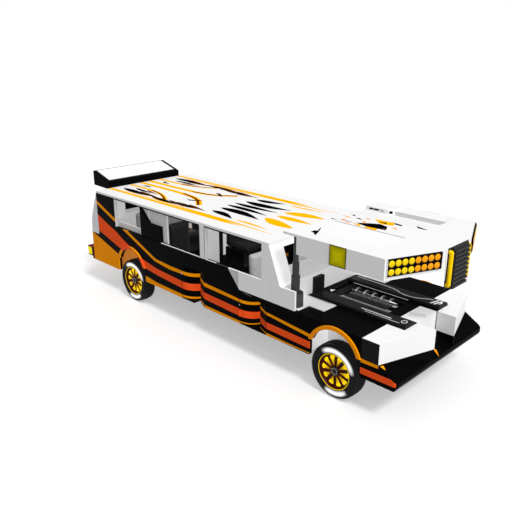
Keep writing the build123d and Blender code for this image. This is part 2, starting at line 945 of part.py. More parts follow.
def nose_hump():
    """Raised box with a rounded front end beside the left-hand channel."""
    hump = box_between(
        (nose_rear_x + hump_lead, nose_rear_x + hump_lead + hump_length), (hump_in, hump_out),
        (nose_top_z - channel_depth, nose_top_z + hump_height),
    )
    corners = hump.edges().filter_by(Axis.Z).group_by(Axis.X)[-1]
    hump = fillet(corners, hump_round)
    hump = fillet(hump.faces().sort_by(Axis.Z)[-1].edges(), hump_edge)
    return hump - box_between(
        (nose_rear_x, nose_face_x), (channel_outer + nose_sheet, half_width),
        (nose_bottom_z, nose_ceiling_z),
    )


def nose_shell():
    shell = level_slab(nose_outline(0), nose_bottom_z, nose_top_z)
    shell -= level_slab(nose_outline(nose_sheet), nose_bottom_z - overrun, nose_ceiling_z - channel_depth)
    pontoon = level_slab(nose_outline(nose_sheet), nose_bottom_z - overrun, nose_ceiling_z)
    wide = (nose_rear_x, nose_face_x)
    pontoon -= box_between(
        wide, (-channel_outer - nose_sheet, channel_outer + nose_sheet),
        (nose_bottom_z - 2 * overrun, nose_top_z),
    )
    shell -= pontoon
    shell -= box_between(
        (nose_rear_x - overrun, nose_side_x), (-half_width - overrun, half_width + overrun),
        (nose_bottom_z - overrun, nose_ceiling_z - channel_depth),
    )
    for side in (-1, 1):
        across = sorted((side * (channel_outer + nose_sheet), side * (half_width + overrun)))
        shell -= box_between(
            (nose_rear_x - overrun, nose_side_x), across, (nose_bottom_z - overrun, nose_ceiling_z)
        )
    bulkhead = half_width - nose_sheet
    shell += box_between(
        (nose_side_x, nose_side_x + nose_sheet), (-bulkhead, bulkhead),
        (nose_bottom_z, nose_ceiling_z),
    )
    for side in (-1, 1):
        section = [
            (side * channel_outer, nose_top_z + overrun),
            (side * channel_outer, nose_top_z - channel_depth),
            (side * channel_inner, nose_top_z - channel_lift),
            (side * channel_inner, nose_top_z + overrun),
        ]
        face = make_face(Polyline([(nose_rear_x - overrun, y, z) for y, z in section], close=True))
        run = channel_front_x - nose_rear_x + overrun
        shell -= extrude(face, amount=run, dir=(1, 0, 0))
    shell -= box_between(
        (nose_rear_x - overrun, cowl_front_x + rail_bar_lead + pocket_margin),
        (-tower_out - pocket_margin, -tower_in + pocket_margin),
        (nose_bottom_z - overrun, deck_z + tower_height + nose_lift + door_gap),
    )
    return shell + nose_hump()


# Lamp panels on the angled nose faces, two rows of eight round lamps each
lamp_columns = 8
lamp_rows = 2
lamp_radius = 42.5
lamp_proud = 14
lamp_lead = 31
lamp_pitch = 86
lamp_row_pitch = 98
panel_inset = 22
panel_lift = 44
panel_height = 202
panel_thickness = 16


def nose_face_frame():
    """Plane on the right-hand angled face: x along the face, y up, z outwards."""
    start = Vector(nose_corner_x, -half_width, nose_bottom_z)
    end = Vector(nose_face_x, -nose_front_y, nose_bottom_z)
    along = end - start
    return Plane(origin=start, x_dir=along, z_dir=Vector(along.Y, -along.X, 0)), along.length


def lamp_panels():
    plane, length = nose_face_frame()
    middle_z = panel_lift + panel_height / 2
    panel = plane * Pos(length / 2, middle_z, panel_thickness / 2) * Box(
        length - 2 * panel_inset, panel_height, panel_thickness
    )
    return both_sides(panel)


def round_lamps():
    plane, _ = nose_face_frame()
    low_row = panel_lift + (panel_height - lamp_row_pitch) / 2
    lamps = []
    for column in range(lamp_columns):
        for row in range(lamp_rows):
            x = lamp_lead + (column + 1 / 2) * lamp_pitch
            z = low_row + row * lamp_row_pitch
            place = plane * Pos(x, z, panel_thickness + lamp_proud / 2)
            lamps.extend((place * Cylinder(lamp_radius, lamp_proud)).solids())
    left = [solid for lamp in lamps for solid in to_left(lamp).solids()]
    return Compound(children=lamps + left)


# Centre grille and its bent side tubes, carried on the nose's front face
grille_half = 172
grille_plate_top_half = 284
grille_plate_low_half = 235
grille_plate = 8
grille_drop = 240
grille_slats = 9
slat_depth = 24
slat_share = 0.55
grille_back_x = nose_face_x
grille_low_z = nose_bottom_z - grille_drop
tube_radius = 26
tube_gap = 1
tube_stand = 37
tube_inset = 45


def nose_grille():
    core_front = nose_tip_x - slat_depth
    points = [
        (-grille_plate_low_half, grille_low_z), (grille_plate_low_half, grille_low_z),
        (grille_plate_top_half, nose_top_z), (-grille_plate_top_half, nose_top_z),
    ]
    face = make_face(Polyline([(grille_back_x, y, z) for y, z in points], close=True))
    grille = extrude(face, amount=grille_plate, dir=(1, 0, 0))
    across = (-grille_half, grille_half)
    grille += box_between((grille_back_x, core_front), across, (grille_low_z, nose_top_z))
    pitch = (nose_top_z - grille_low_z) / grille_slats
    for number in range(grille_slats):
        low = grille_low_z + number * pitch
        grille += box_between((core_front, nose_tip_x), across, (low, low + slat_share * pitch))
    return grille


def grille_tubes():
    x = grille_back_x + tube_stand
    y = -grille_half - tube_gap - tube_radius
    back = grille_back_x + grille_plate
    ends = (grille_low_z + tube_inset, nose_top_z - tube_inset)
    tube = post_at(x, y, tube_radius, ends[0], ends[1])
    for z in ends:
        tube += Pos(x, y, z) * Sphere(tube_radius)
        tube += Pos((x + back) / 2, y, z) * Rot(0, 90, 0) * Cylinder(tube_radius, x - back)
    return both_sides(tube)


marker_rear = 509
marker_length = 239
marker_proud = 6


def side_markers():
    back = nose_side_x + marker_rear
    return both_sides(
        box_between(
            (back, back + marker_length), (-half_width - marker_proud, -half_width),
            (nose_bottom_z, nose_top_z),
        )
    )


# Cabin: seats on plinths, dashboard, steering wheel, partitions and roof consoles
seat_width = 440
seat_depth = 460
cushion_height = 110
back_thickness = 120
plinth_height = 280
plinth_inset = 40
bench_side = 480
bench_half = half_width - bench_side
seat_gap = running_clearance
front_row_x = 3570
front_row_side = 560
front_row_y = half_width - front_row_side
front_row_top = 1370
middle_row_x = 1880
middle_row_side = 420
middle_row_y = half_width - middle_row_side
middle_row_top = 1500
bench_x = 560
bench_top = 1365
# Columns: x of the seat's back edge from the floor's rear end, middle y, width, top of the back
seat_rows = [
    (front_row_x, -front_row_y, seat_width, front_row_top),
    (front_row_x, front_row_y, seat_width, front_row_top),
    (middle_row_x, -middle_row_y, seat_width, middle_row_top),
    (middle_row_x, middle_row_y, seat_width, middle_row_top),
    (bench_x, 0, 2 * bench_half, bench_top),
]


def seat_set():
    frames, cushions, backs = [], [], []
    for back_edge, middle_y, width, top in seat_rows:
        x = frame_rear_x + back_edge
        across = (middle_y - width / 2, middle_y + width / 2)
        within = (across[0] + plinth_inset, across[1] - plinth_inset)
        plinth_top = floor_z + plinth_height
        frames.extend(
            box_between((x, x + seat_depth), within, (floor_z, plinth_top)).solids()
        )
        front = x + back_thickness + seat_gap
        cushion = box_between(
            (front, front + seat_depth), across, (plinth_top + seat_gap, plinth_top + cushion_height)
        )
        cushion = fillet(cushion.edges().filter_by(Axis.Z), plinth_inset)
        cushions.extend(cushion.solids())
        back = box_between((x, x + back_thickness), across, (plinth_top + seat_gap, top))
        corners = back.edges().filter_by(Axis.X).group_by(Axis.Z)[-1]
        back = fillet(corners, 2 * plinth_inset)
        backs.extend(back.solids())
    return Compound(children=frames), Compound(children=cushions), Compound(children=backs)


dash_depth = 480
dash_drop = 10
wheel_drop = 90
dash_low_z = pod_top_z + pod_wall + gap
wheel_ring_radius = 190
wheel_tube = 15
column_radius = 24
column_length = 90
steering_side = 520
steering_y = half_width - steering_side


def dashboard():
    half = half_width - screen_band
    front = foot_x
    return box_between((front - dash_depth, front), (-half, half), (dash_low_z, waist_z - dash_drop))


def steering_wheel():
    front = foot_x - dash_depth
    z = waist_z - wheel_drop
    hub = front - column_length
    wheel = Pos(hub, -steering_y, z) * Rot(0, 90, 0) * Torus(wheel_ring_radius, wheel_tube)
    wheel += Pos((hub + front) / 2, -steering_y, z) * Rot(0, 90, 0) * Cylinder(column_radius, front - hub)
    across = (-steering_y - wheel_ring_radius, -steering_y + wheel_ring_radius)
    wheel += box_between((hub - wheel_tube, hub + wheel_tube), across, (z - wheel_tube, z + wheel_tube))
    return wheel


partition_depth = 48
partition_width = 245
rear_partition_width = 160
rear_partition_rise = 140
console_length = 450
console_drop = 545
console_lead = 930
fin_panel_length = 200
fin_panel_gap = 20
fin_panel_drop = 310
rear_shelf_length = 352
rear_shelf_drop = 333
bulkhead_gap = 10
blind_lead = 246
blind_sheet = 20
blind_side = 150
blind_slots = 6
blind_slot = 18
blind_margin = 50
side_ledge_length = 640
side_ledge_lead = 8
side_ledge_low_z = 1170
side_ledge_height = 150


def cabin_panels():
    inner = -inner_half_width
    b_middle = b_pillar_x + b_pillar_width / 2
    b_panel = box_between(
        (b_middle - partition_depth / 2, b_middle + partition_depth / 2),
        (inner, inner + partition_width), (rear_pod_top_z + pod_wall, roof_under_z),
    )
    back = window_rear_x + console_lead
    console = box_between(
        (back, back + console_length), (inner, inner + plate),
        (roof_under_z - console_drop, roof_under_z),
    )
    fin_panel_front = back - fin_panel_gap
    fin_panel = box_between(
        (fin_panel_front - fin_panel_length, fin_panel_front), (inner, inner + plate),
        (roof_under_z - fin_panel_drop, roof_under_z),
    )
    rear_panel = box_between(
        (window_rear_x - partition_depth, window_rear_x), (inner, inner + rear_partition_width),
        (waist_z + rear_partition_rise, roof_under_z),
    )
    ledge_back = window_rear_x + side_ledge_lead
    ledge = box_between(
        (ledge_back, ledge_back + side_ledge_length), (inner, inner + plate),
        (side_ledge_low_z, side_ledge_low_z + side_ledge_height),
    )
    return [b_panel, console, fin_panel, rear_panel, ledge]


# Board between the side walls behind the rear windows, the bulkhead under it and the blind on it
shelf_top_z = roof_under_z - rear_shelf_drop
shelf_front_x = window_rear_x - partition_depth - gap


def rear_shelf():
    return box_between(
        (shelf_front_x - rear_shelf_length, shelf_front_x), (-inner_half_width, inner_half_width),
        (shelf_top_z - plate, shelf_top_z),
    )


def rear_bulkhead():
    front = frame_rear_x + bench_x - bulkhead_gap
    return box_between(
        (front - plate, front), (-inner_half_width, inner_half_width),
        (floor_z, shelf_top_z - plate),
    )


def rear_blind():
    front = shelf_front_x - blind_lead
    half = inner_half_width - blind_side
    blind = box_between((front - blind_sheet, front), (-half, half), (shelf_top_z, roof_under_z))
    pitch = 2 * half / blind_slots
    for number in range(blind_slots):
        middle = -half + (number + 1 / 2) * pitch
        blind -= box_between(
            (front - blind_sheet - overrun, front + overrun),
            (middle - blind_slot / 2, middle + blind_slot / 2),
            (shelf_top_z + blind_margin, roof_under_z - blind_margin),
        )
    return blind


def all_cabin_panels():
    right = [solid for piece in cabin_panels() for solid in piece.solids()]
    left = [solid for piece in right for solid in to_left(piece).solids()]
    boards = list(rear_shelf().solids()) + list(rear_bulkhead().solids())
    return Compound(children=right + left + boards)


# Fuel tank and exhaust, hung under the floor
tank_length = 700
tank_in = 500
tank_out = 880
tank_low_z = 300
tank_lead = 570
silencer_radius = 75
silencer_length = 620
pipe_radius = 28
exhaust_lead = 250
hanger_width = 40


def fuel_tank():
    back = door_rear_x - tank_length - tank_lead
    return box_between((back, back + tank_length), (tank_in, tank_out), (tank_low_z, frame_top_z))


def exhaust():
    z = frame_top_z - silencer_radius - overrun
    front = rear_axle_x - well_half - overrun
    pipe_back = tail_x - overrun
    pipe = Pos((front + pipe_back) / 2, -rail_y - exhaust_lead / 2, z) * Rot(0, 90, 0) * Cylinder(
        pipe_radius, front - pipe_back
    )
    middle = front - silencer_length / 2
    body = Pos(middle, -rail_y - exhaust_lead / 2, z) * Rot(0, 90, 0) * Cylinder(
        silencer_radius, silencer_length
    )
    y = -rail_y - exhaust_lead / 2
    hanger = box_between(
        (middle - hanger_width / 2, middle + hanger_width / 2),
        (y - hanger_width / 2, y + hanger_width / 2), (z, frame_top_z),
    )
    return pipe + body + hanger


# Every node, written to its own file
seat_frames, seat_cushions, seat_backs = seat_set()
right_pieces = {
    "side_wall": side_wall(),
    "fender": fender(),
    "door": door(),
    "knuckle": knuckle(),
    "front_tyre": tyre(front_axle_x),
    "rear_tyre": tyre(rear_axle_x),
    "front_rim": rim(front_axle_x),
    "rear_rim": rim(rear_axle_x),
}
whole_pieces = {
    "chassis_frame": chassis_frame(),
    "floor_pan": floor_pan(),
    "side_rails": side_rails(),
    "roof_panel": roof_panel(),
    "tail_frame": tail_frame(),
    "tailgate": tailgate(),
    "rear_bumper": rear_bumper(),
    "rear_lamps": rear_lamps(),
    "wing": wing(),
    "windscreen_frame": windscreen_frame(),
    "front_deck": front_deck(),
    "deck_plates": deck_plates(),
    "front_blocks": front_blocks(),
    "front_bumper": bumper(),
    "engine_block": engine_block(),
    "engine_trim": engine_trim(),
    "wheel_wells": wheel_wells(),
    "arch_trims": arch_trims(),
    "front_axle": front_axle(),
    "rear_axle": rear_axle(),
    "fuel_tank": fuel_tank(),
    "exhaust": exhaust(),
    "post_bases": post_bases(),
    "lower_sleeves": lift_sleeve(sleeve_low_radius, sleeve_low_top, sleeve_low_length),
    "middle_sleeves": lift_sleeve(sleeve_mid_radius, sleeve_mid_top, sleeve_mid_length),
    "lift_rods": lift_rods(),
    "nose_shell": nose_shell(),
    "lamp_panels": lamp_panels(),
    "round_lamps": round_lamps(),
    "nose_grille": nose_grille(),
    "grille_tubes": grille_tubes(),
    "side_markers": side_markers(),
    "seat_frames": seat_frames,
    "seat_cushions": seat_cushions,
    "seat_backs": seat_backs,
    "dashboard": dashboard(),
    "steering_wheel": steering_wheel(),
    "cabin_panels": all_cabin_panels(),
    "rear_blind": rear_blind(),
}
for name, shape in right_pieces.items():
    save_pair(name, shape)
for name, shape in whole_pieces.items():
    save(name, shape)
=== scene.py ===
import math

import bmesh
import bpy
from mathutils import Matrix, Vector


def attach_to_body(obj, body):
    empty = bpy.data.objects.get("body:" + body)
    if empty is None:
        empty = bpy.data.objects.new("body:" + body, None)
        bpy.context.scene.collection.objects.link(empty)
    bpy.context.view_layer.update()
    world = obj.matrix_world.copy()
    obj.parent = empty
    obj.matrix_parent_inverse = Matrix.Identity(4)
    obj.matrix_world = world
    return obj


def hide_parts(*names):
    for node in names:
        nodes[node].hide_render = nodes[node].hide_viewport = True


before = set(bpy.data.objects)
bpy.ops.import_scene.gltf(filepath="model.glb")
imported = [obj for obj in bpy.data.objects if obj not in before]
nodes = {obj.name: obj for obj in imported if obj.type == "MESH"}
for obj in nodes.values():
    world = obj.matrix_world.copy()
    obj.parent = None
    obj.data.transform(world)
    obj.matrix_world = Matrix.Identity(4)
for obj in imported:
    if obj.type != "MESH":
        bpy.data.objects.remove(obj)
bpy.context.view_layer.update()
print("frame loaded:", len(nodes), "nodes")


# node helpers
def addNode(tree, kind, **settings):
    node = tree.nodes.new(kind)
    for name, value in settings.items():
        setattr(node, name, value)
    return node


def mathNode(tree, operation, first, second=None, clamp=False):
    node = addNode(tree, "ShaderNodeMath", operation=operation, use_clamp=clamp)
    for socket, value in zip(node.inputs, (first, second)):
        if value is None:
            continue
        if isinstance(value, (int, float)):
            socket.default_value = value
        else:
            tree.links.new(value, socket)
    return node.outputs[0]


def product(tree, *factors, clamp=False):
    total = factors[0]
    for factor in factors[1:-1]:
        total = mathNode(tree, "MULTIPLY", total, factor)
    return mathNode(tree, "MULTIPLY", total, factors[-1], clamp)


def above(tree, socket, limit):
    return mathNode(tree, "GREATER_THAN", socket, limit)


def below(tree, socket, limit):
    return mathNode(tree, "LESS_THAN", socket, limit)


def within(tree, socket, low, high):
    return product(tree, above(tree, socket, low), below(tree, socket, high))


def outOf(tree, flag):
    return mathNode(tree, "SUBTRACT", 1.0, flag)


def distance(tree, socket, middle=0.0):
    return mathNode(tree, "ABSOLUTE", mathNode(tree, "SUBTRACT", socket, middle))


def splitPlace(tree, place):
    parts = addNode(tree, "ShaderNodeSeparateXYZ")
    tree.links.new(place, parts.inputs[0])
    return parts.outputs["X"], parts.outputs["Y"], parts.outputs["Z"]


def noise(tree, place, scale, detail):
    node = addNode(tree, "ShaderNodeTexNoise")
    node.inputs["Scale"].default_value = scale
    node.inputs["Detail"].default_value = detail
    tree.links.new(place, node.inputs["Vector"])
    return node.outputs["Fac"]


def grey(value):
    return (value, value, value)


def mixColor(tree, factor, first, second):
    node = addNode(tree, "ShaderNodeMix", data_type="RGBA")
    for socket, value in ((node.inputs["Factor"], factor), (node.inputs[6], first), (node.inputs[7], second)):
        if isinstance(value, (int, float)):
            socket.default_value = value
        elif isinstance(value, tuple):
            socket.default_value = (*value, 1.0)
        else:
            tree.links.new(value, socket)
    return node.outputs[2]


def newGroup(name, inputs, outputs):
    group = bpy.data.node_groups.new(name, "ShaderNodeTree")
    for label, kind, value in inputs:
        socket = group.interface.new_socket(name=label, in_out="INPUT", socket_type="NodeSocket" + kind)
        if value is not None:
            socket.default_value = value
    for label, kind in outputs:
        group.interface.new_socket(name=label, in_out="OUTPUT", socket_type="NodeSocket" + kind)
    return group, group.nodes.new("NodeGroupInput").outputs, group.nodes.new("NodeGroupOutput").inputs


def placeGroup(tree, group, **values):
    node = addNode(tree, "ShaderNodeGroup", node_tree=group)
    for label, value in values.items():
        socket = node.inputs[label]
        if isinstance(value, tuple) and len(value) == 3 and socket.type == "RGBA":
            socket.default_value = (*value, 1.0)
        elif isinstance(value, (int, float, tuple)):
            socket.default_value = value
        else:
            tree.links.new(value, socket)
    return node


# surface groups shared by the finishes
surface = {"cloudScale": 2.4, "speckleScale": 95.0, "peelScale": 160.0, "dustGain": 3.2, "dustRoughness": 0.5,
           "cloudRoughness": 0.06, "dustColor": (0.36, 0.33, 0.29)}


def makeSurfaceGroup():
    group, given, out = newGroup(
        "paintSurface",
        (("Vector", "Vector", None), ("Paint", "Color", (0.8, 0.8, 0.8, 1)),
         ("Dust", "Color", (0.4, 0.37, 0.33, 1)), ("Dust Amount", "Float", 0.2), ("Dust Reach", "Float", 0.9),
         ("Smoothness", "Float", 0.7), ("Peel", "Float", 0.3)),
        (("Color", "Color"), ("Roughness", "Float"), ("Height", "Float")))
    place = given["Vector"]
    height = splitPlace(group, place)[2]
    cloudy = noise(group, place, surface["cloudScale"], 5.0)
    speckle = noise(group, place, surface["speckleScale"], 3.0)
    nearGround = mathNode(group, "DIVIDE", height, given["Dust Reach"])
    nearGround = mathNode(group, "SUBTRACT", 1.0, nearGround, clamp=True)
    dusty = product(group, cloudy, speckle, nearGround, surface["dustGain"], given["Dust Amount"], clamp=True)
    group.links.new(mixColor(group, dusty, given["Paint"], given["Dust"]), out["Color"])
    rough = outOf(group, given["Smoothness"])
    rough = mathNode(group, "ADD", rough, product(group, dusty, surface["dustRoughness"]))
    rough = mathNode(group, "ADD", rough, product(group, cloudy, surface["cloudRoughness"]), clamp=True)
    group.links.new(rough, out["Roughness"])
    peel = noise(group, place, surface["peelScale"], 1.0)
    group.links.new(product(group, peel, given["Peel"]), out["Height"])
    return group


# heights of the side stripes against the distance along the bus, both in metres
stripes = {
    "upperTop": [(-3.2, 1.72), (-1.211, 0.932), (-0.85, 0.912), (-0.535, 0.908), (0.0, 0.862),
                 (0.734, 0.83), (1.308, 0.795), (2.0, 0.744), (2.75, 0.708), (3.2, 0.7)],
    "upperLow": [(-3.2, 1.655), (-1.24, 0.886), (-0.85, 0.846), (-0.535, 0.856), (0.0, 0.802),
                 (0.734, 0.784), (1.308, 0.756), (2.0, 0.695), (2.75, 0.658), (3.2, 0.67)],
    "redTop": [(-3.2, 1.47), (-2.6, 1.241), (-2.336, 1.15), (-2.1, 1.04), (-1.598, 0.838),
               (-1.192, 0.77), (-0.545, 0.737), (-0.03, 0.705), (0.711, 0.683), (1.236, 0.653),
               (1.985, 0.64), (2.749, 0.594), (3.3, 0.6)],
    "redLow": [(-3.2, 1.15), (-2.85, 1.044), (-2.314, 0.891), (-1.578, 0.701), (-1.202, 0.66),
               (-0.562, 0.619), (-0.03, 0.6), (0.711, 0.573), (1.236, 0.557), (1.985, 0.54),
               (2.749, 0.511), (3.3, 0.516)],
    "lowTop": [(-1.9, 0.6), (-1.574, 0.57), (-1.215, 0.527), (-0.554, 0.517), (-0.03, 0.504),
               (0.711, 0.497), (1.236, 0.497), (1.583, 0.486), (2.0, 0.484), (2.2, 0.482)],
    "lowLow": [(-1.9, 0.44), (1.236, 0.452), (1.583, 0.462), (2.0, 0.474), (2.2, 0.482)],
    "quarter": [(-3.2, 1.0), (-3.095, 0.975), (-2.872, 0.919), (-2.389, 0.773), (-1.9, 0.62)],
}
stripeColors = {"orange": (1.0, 0.33, 0.0), "red": (0.95, 0.098, 0.016), "deepRed": (0.75, 0.0, 0.0),
                "black": (0.0016, 0.0016, 0.0018)}
# where the stripes end: the curves' range, the outer skin, the two pods and the bumper's sloping top
stripeLimits = {"start": 3.5, "length": 7.0, "height": 2.0, "skin": 1.024, "rearPod": (-0.55, -0.0305),
                "frontPod": (0.732, 1.228), "podAcross": (0.74, 1.1), "podHeight": (0.478, 0.999), "ledge": 0.479,
                "orangeEnd": 3.012, "tailEnd": -1.91, "slope": (0.51, 0.86, 2.1425), "deepRedStart": -2.86}


def makeStripeGroup():
    group, given, out = newGroup(
        "sideStripes", (("Vector", "Vector", None), ("Ground Color", "Color", (0, 0, 0, 1))),
        (("Color", "Color"), ("Red", "Float")))
    x, y, z = splitPlace(group, given["Vector"])
    limits = stripeLimits
    along = mathNode(group, "DIVIDE", mathNode(group, "ADD", x, limits["start"]), limits["length"])
    height = mathNode(group, "DIVIDE", z, limits["height"])
    across = distance(group, y)

    def heightOf(name):
        curve = addNode(group, "ShaderNodeFloatCurve")
        line = curve.mapping.curves[0]
        points = [((a + limits["start"]) / limits["length"], b / limits["height"]) for a, b in stripes[name]]
        points = [(0.0, points[0][1])] + points + [(1.0, points[-1][1])]
        for number, point in enumerate(points):
            if number < 2:
                line.points[number].location = point
            else:
                line.points.new(*point)
        for point in line.points:
            point.handle_type = "VECTOR"
        curve.mapping.update()
        group.links.new(along, curve.inputs["Value"])
        return curve.outputs["Value"]

    def between(low, top):
        return within(group, height, heightOf(low), heightOf(top))

    pods = mathNode(group, "ADD", within(group, x, *limits["rearPod"]), within(group, x, *limits["frontPod"]))
    podSkin = product(group, pods, within(group, across, *limits["podAcross"]),
                      within(group, z, *limits["podHeight"]))
    skin = mathNode(group, "MAXIMUM", above(group, across, limits["skin"]), podSkin)
    skin = product(group, skin, outOf(group, product(group, pods, below(group, z, limits["ledge"]))))
    orange = mathNode(group, "MAXIMUM", between("upperLow", "upperTop"), between("lowLow", "lowTop"))
    orange = product(group, orange, below(group, x, limits["orangeEnd"]))
    tail = product(group, below(group, height, heightOf("quarter")), below(group, x, limits["tailEnd"]))
    orange = product(group, mathNode(group, "MAXIMUM", orange, tail), skin)
    color = mixColor(group, orange, given["Ground Color"], stripeColors["orange"])
    # the bumper's sloping top keeps clear of the red band at its corners
    run, rise, edge = limits["slope"]
    slope = mathNode(group, "ADD", product(group, x, run), product(group, z, rise))
    red = between("redLow", "redTop")
    redShown = product(group, red, skin, below(group, slope, edge))
    deep = product(group, mathNode(group, "SUBTRACT", limits["deepRedStart"], x), 4.5, clamp=True)
    redTone = mixColor(group, deep, stripeColors["red"], stripeColors["deepRed"])
    color = mixColor(group, redShown, color, redTone)
    # pale window jambs, the middle pillar and the corner strip of the tail
    jamb = product(group, within(group, across, 0.982, 1.036), above(group, z, 1.231),
                   outOf(group, within(group, x, -2.25, -0.13)))
    color = mixColor(group, jamb, color, (0.55, 0.55, 0.56))
    for span, lowest, tone in (((-0.106, 0.002), 1.231, grey(0.86)), ((-3.3, -2.885), 0.983, (0.78, 0.82, 0.85))):
        color = mixColor(group, product(group, within(group, x, *span), above(group, z, lowest)), color, tone)
    group.links.new(color, out["Color"])
    group.links.new(red, out["Red"])
    return group


def makeGrainGroup():
    group, given, out = newGroup(
        "coverGrain",
        (("Vector", "Vector", None), ("Scale", "Float", 300.0), ("Light", "Color", (0.1, 0.1, 0.1, 1)),
         ("Dark", "Color", (0.02, 0.02, 0.02, 1))),
        (("Color", "Color"), ("Height", "Float")))
    cells = addNode(group, "ShaderNodeTexVoronoi", feature="DISTANCE_TO_EDGE")
    group.links.new(given["Vector"], cells.inputs["Vector"])
    group.links.new(given["Scale"], cells.inputs["Scale"])
    cloudy = noise(group, given["Vector"], 7.0, 6.0)
    crease = product(group, cells.outputs["Distance"], 3.0, clamp=True)
    group.links.new(crease, out["Height"])
    tone = product(group, crease, cloudy, clamp=True)
    group.links.new(mixColor(group, tone, given["Dark"], given["Light"]), out["Color"])
    return group


paintSurface = makeSurfaceGroup()
sideStripes = makeStripeGroup()
coverGrain = makeGrainGroup()
finishes = {}


def newMaterial(name, **values):
    material = bpy.data.materials.new(name)
    material.use_nodes = True
    tree = material.node_tree
    shader = tree.nodes["Principled BSDF"].inputs
    for label, value in values.items():
        shader[label.replace("_", " ")].default_value = value
    return material, tree, shader, addNode(tree, "ShaderNodeTexCoord").outputs["Object"]


def addRelief(tree, shader, height, strength, depth):
    relief = addNode(tree, "ShaderNodeBump")
    relief.inputs["Strength"].default_value = strength
    relief.inputs["Distance"].default_value = depth
    tree.links.new(height, relief.inputs["Height"])
    tree.links.new(relief.outputs["Normal"], shader["Normal"])


def finish(name, paint, smoothness, dust, specular=0.5, reach=0.9, peel=0.3, bump=0.02, metal=0.0, coat=0.0,
           livery=None, glow=0.0):
    material, tree, shader, place = newMaterial(
        name, Metallic=metal, Coat_Weight=coat, Coat_Roughness=0.06, Specular_IOR_Level=specular)
    skin = placeGroup(
        tree, paintSurface, Vector=place, Paint=paint, Dust=surface["dustColor"], Smoothness=smoothness, Peel=peel,
        **{"Dust Amount": dust, "Dust Reach": reach})
    if livery:
        tree.links.new(livery(tree, place, paint), skin.inputs["Paint"])
    tree.links.new(skin.outputs["Color"], shader["Base Color"])
    tree.links.new(skin.outputs["Roughness"], shader["Roughness"])
    addRelief(tree, shader, skin.outputs["Height"], 0.35, bump * 0.05)
    if glow:
        tree.links.new(skin.outputs["Color"], shader["Emission Color"])
        shader["Emission Strength"].default_value = glow
    finishes[name] = material


def coverFinish(name, light, dark):
    material, tree, shader, place = newMaterial(name, Roughness=0.48, Sheen_Weight=0.1, Specular_IOR_Level=0.3)
    grain = placeGroup(tree, coverGrain, Vector=place, Scale=240.0, Light=light, Dark=dark)
    tree.links.new(grain.outputs["Color"], shader["Base Color"])
    addRelief(tree, shader, grain.outputs["Height"], 0.5, 0.0008)
    finishes[name] = material


# liveries: each changes a finish's paint by the place on the piece
def lowPart(axis, limit, lowColor):
    def livery(tree, place, paint):
        return mixColor(tree, below(tree, splitPlace(tree, place)[axis], limit), paint, lowColor)
    return livery


def sideLivery(tree, place, paint):
    return placeGroup(tree, sideStripes, Vector=place, **{"Ground Color": paint}).outputs["Color"]


def trimLivery(tree, place, paint):
    red = placeGroup(tree, sideStripes, Vector=place).outputs["Red"]
    return mixColor(tree, red, paint, stripeColors["red"])


def railShadeAndHighlights(tree, place, paint):
    # painted shade: a greyer triangle ahead of the door's slanted edge, darker towards the front, then the pale
    # panel with two painted highlight lines at the seams
    x, _, z = splitPlace(tree, place)
    shade = product(tree, below(tree, x, 0.709), below(tree, z, 1.229))
    low = product(tree, mathNode(tree, "SUBTRACT", x, 0.45), 1.6, clamp=True)
    color = mixColor(tree, shade, paint, mixColor(tree, low, grey(0.60), grey(0.40)))
    # painted highlights: pure white lines along the two seams
    for seam, half in ((0.712, 0.005), (1.222, 0.004)):
        color = mixColor(tree, below(tree, distance(tree, x, seam), half), color, grey(1.0))
    return color


def blockLivery(tree, place, paint):
    # the outer cheeks of the front blocks stay black
    cheek = above(tree, distance(tree, splitPlace(tree, place)[1]), 1.0385)
    return mixColor(tree, cheek, paint, stripeColors["black"])


def noseWallShade(tree, place, paint):
    # painted shade: the wall of the left channel in the top is painted darker
    x, y, z = splitPlace(tree, place)
    shade = product(tree, within(tree, y, 0.733, 0.737), within(tree, z, 1.90, 1.9845), below(tree, x, 2.7555))
    return mixColor(tree, shade, paint, grey(0.66))


def wellLivery(tree, place, paint):
    # orange behind the rear wheel, black towards the engine bay
    color = lowPart(0, -2.3, (0.55, 0.17, 0.0))(tree, place, paint)
    inner = below(tree, distance(tree, splitPlace(tree, place)[1]), 0.64)
    return mixColor(tree, inner, color, stripeColors["black"])


def rimLivery(limit):
    # pale border on a dark part of the nose face, beyond a set distance from the middle
    def livery(tree, place, paint):
        away = distance(tree, splitPlace(tree, place)[1])
        return mixColor(tree, above(tree, away, limit), paint, white)
    return livery


def podLampLivery(tree, place, paint):
    # dark red rim round the square lamps on the rear corners
    x, _, z = splitPlace(tree, place)
    rim = above(tree, distance(tree, z, 0.5865), 0.068)
    nearBody = product(tree, above(tree, x, -3.205), below(tree, z, 0.7))
    return mixColor(tree, mathNode(tree, "MAXIMUM", rim, nearBody, clamp=True), paint, (0.13, 0.0, 0.02))


def bootCrestHighlight(tree, place, paint):
    # painted highlight: paler bands on the crests of the folded boots
    fold = mathNode(tree, "FRACT", mathNode(tree, "DIVIDE", splitPlace(tree, place)[2], 0.0222))
    return mixColor(tree, above(tree, fold, 0.70), paint, grey(0.09))


def markerLivery(tree, place, paint):
    # darker towards the rim of the square side lamp
    x, _, z = splitPlace(tree, place)
    offsets = [mathNode(tree, "DIVIDE", distance(tree, socket, middle), half)
               for socket, middle, half in ((x, 2.3675, 0.1195), (z, 1.8595, 0.1255))]
    edge = mathNode(tree, "MAXIMUM", *offsets)
    ribs = addNode(tree, "ShaderNodeTexWave", bands_direction="X")
    ribs.inputs["Scale"].default_value = 55.0
    tree.links.new(place, ribs.inputs["Vector"])
    square = mathNode(tree, "POWER", edge, 2.0)
    soft = mixColor(tree, product(tree, square, 0.9), paint, (0.26, 0.235, 0.0))
    soft = mixColor(tree, product(tree, ribs.outputs["Fac"], 0.08), soft, (0.1, 0.09, 0.0))
    return mixColor(tree, above(tree, edge, 0.93), soft, (0.06, 0.05, 0.0))


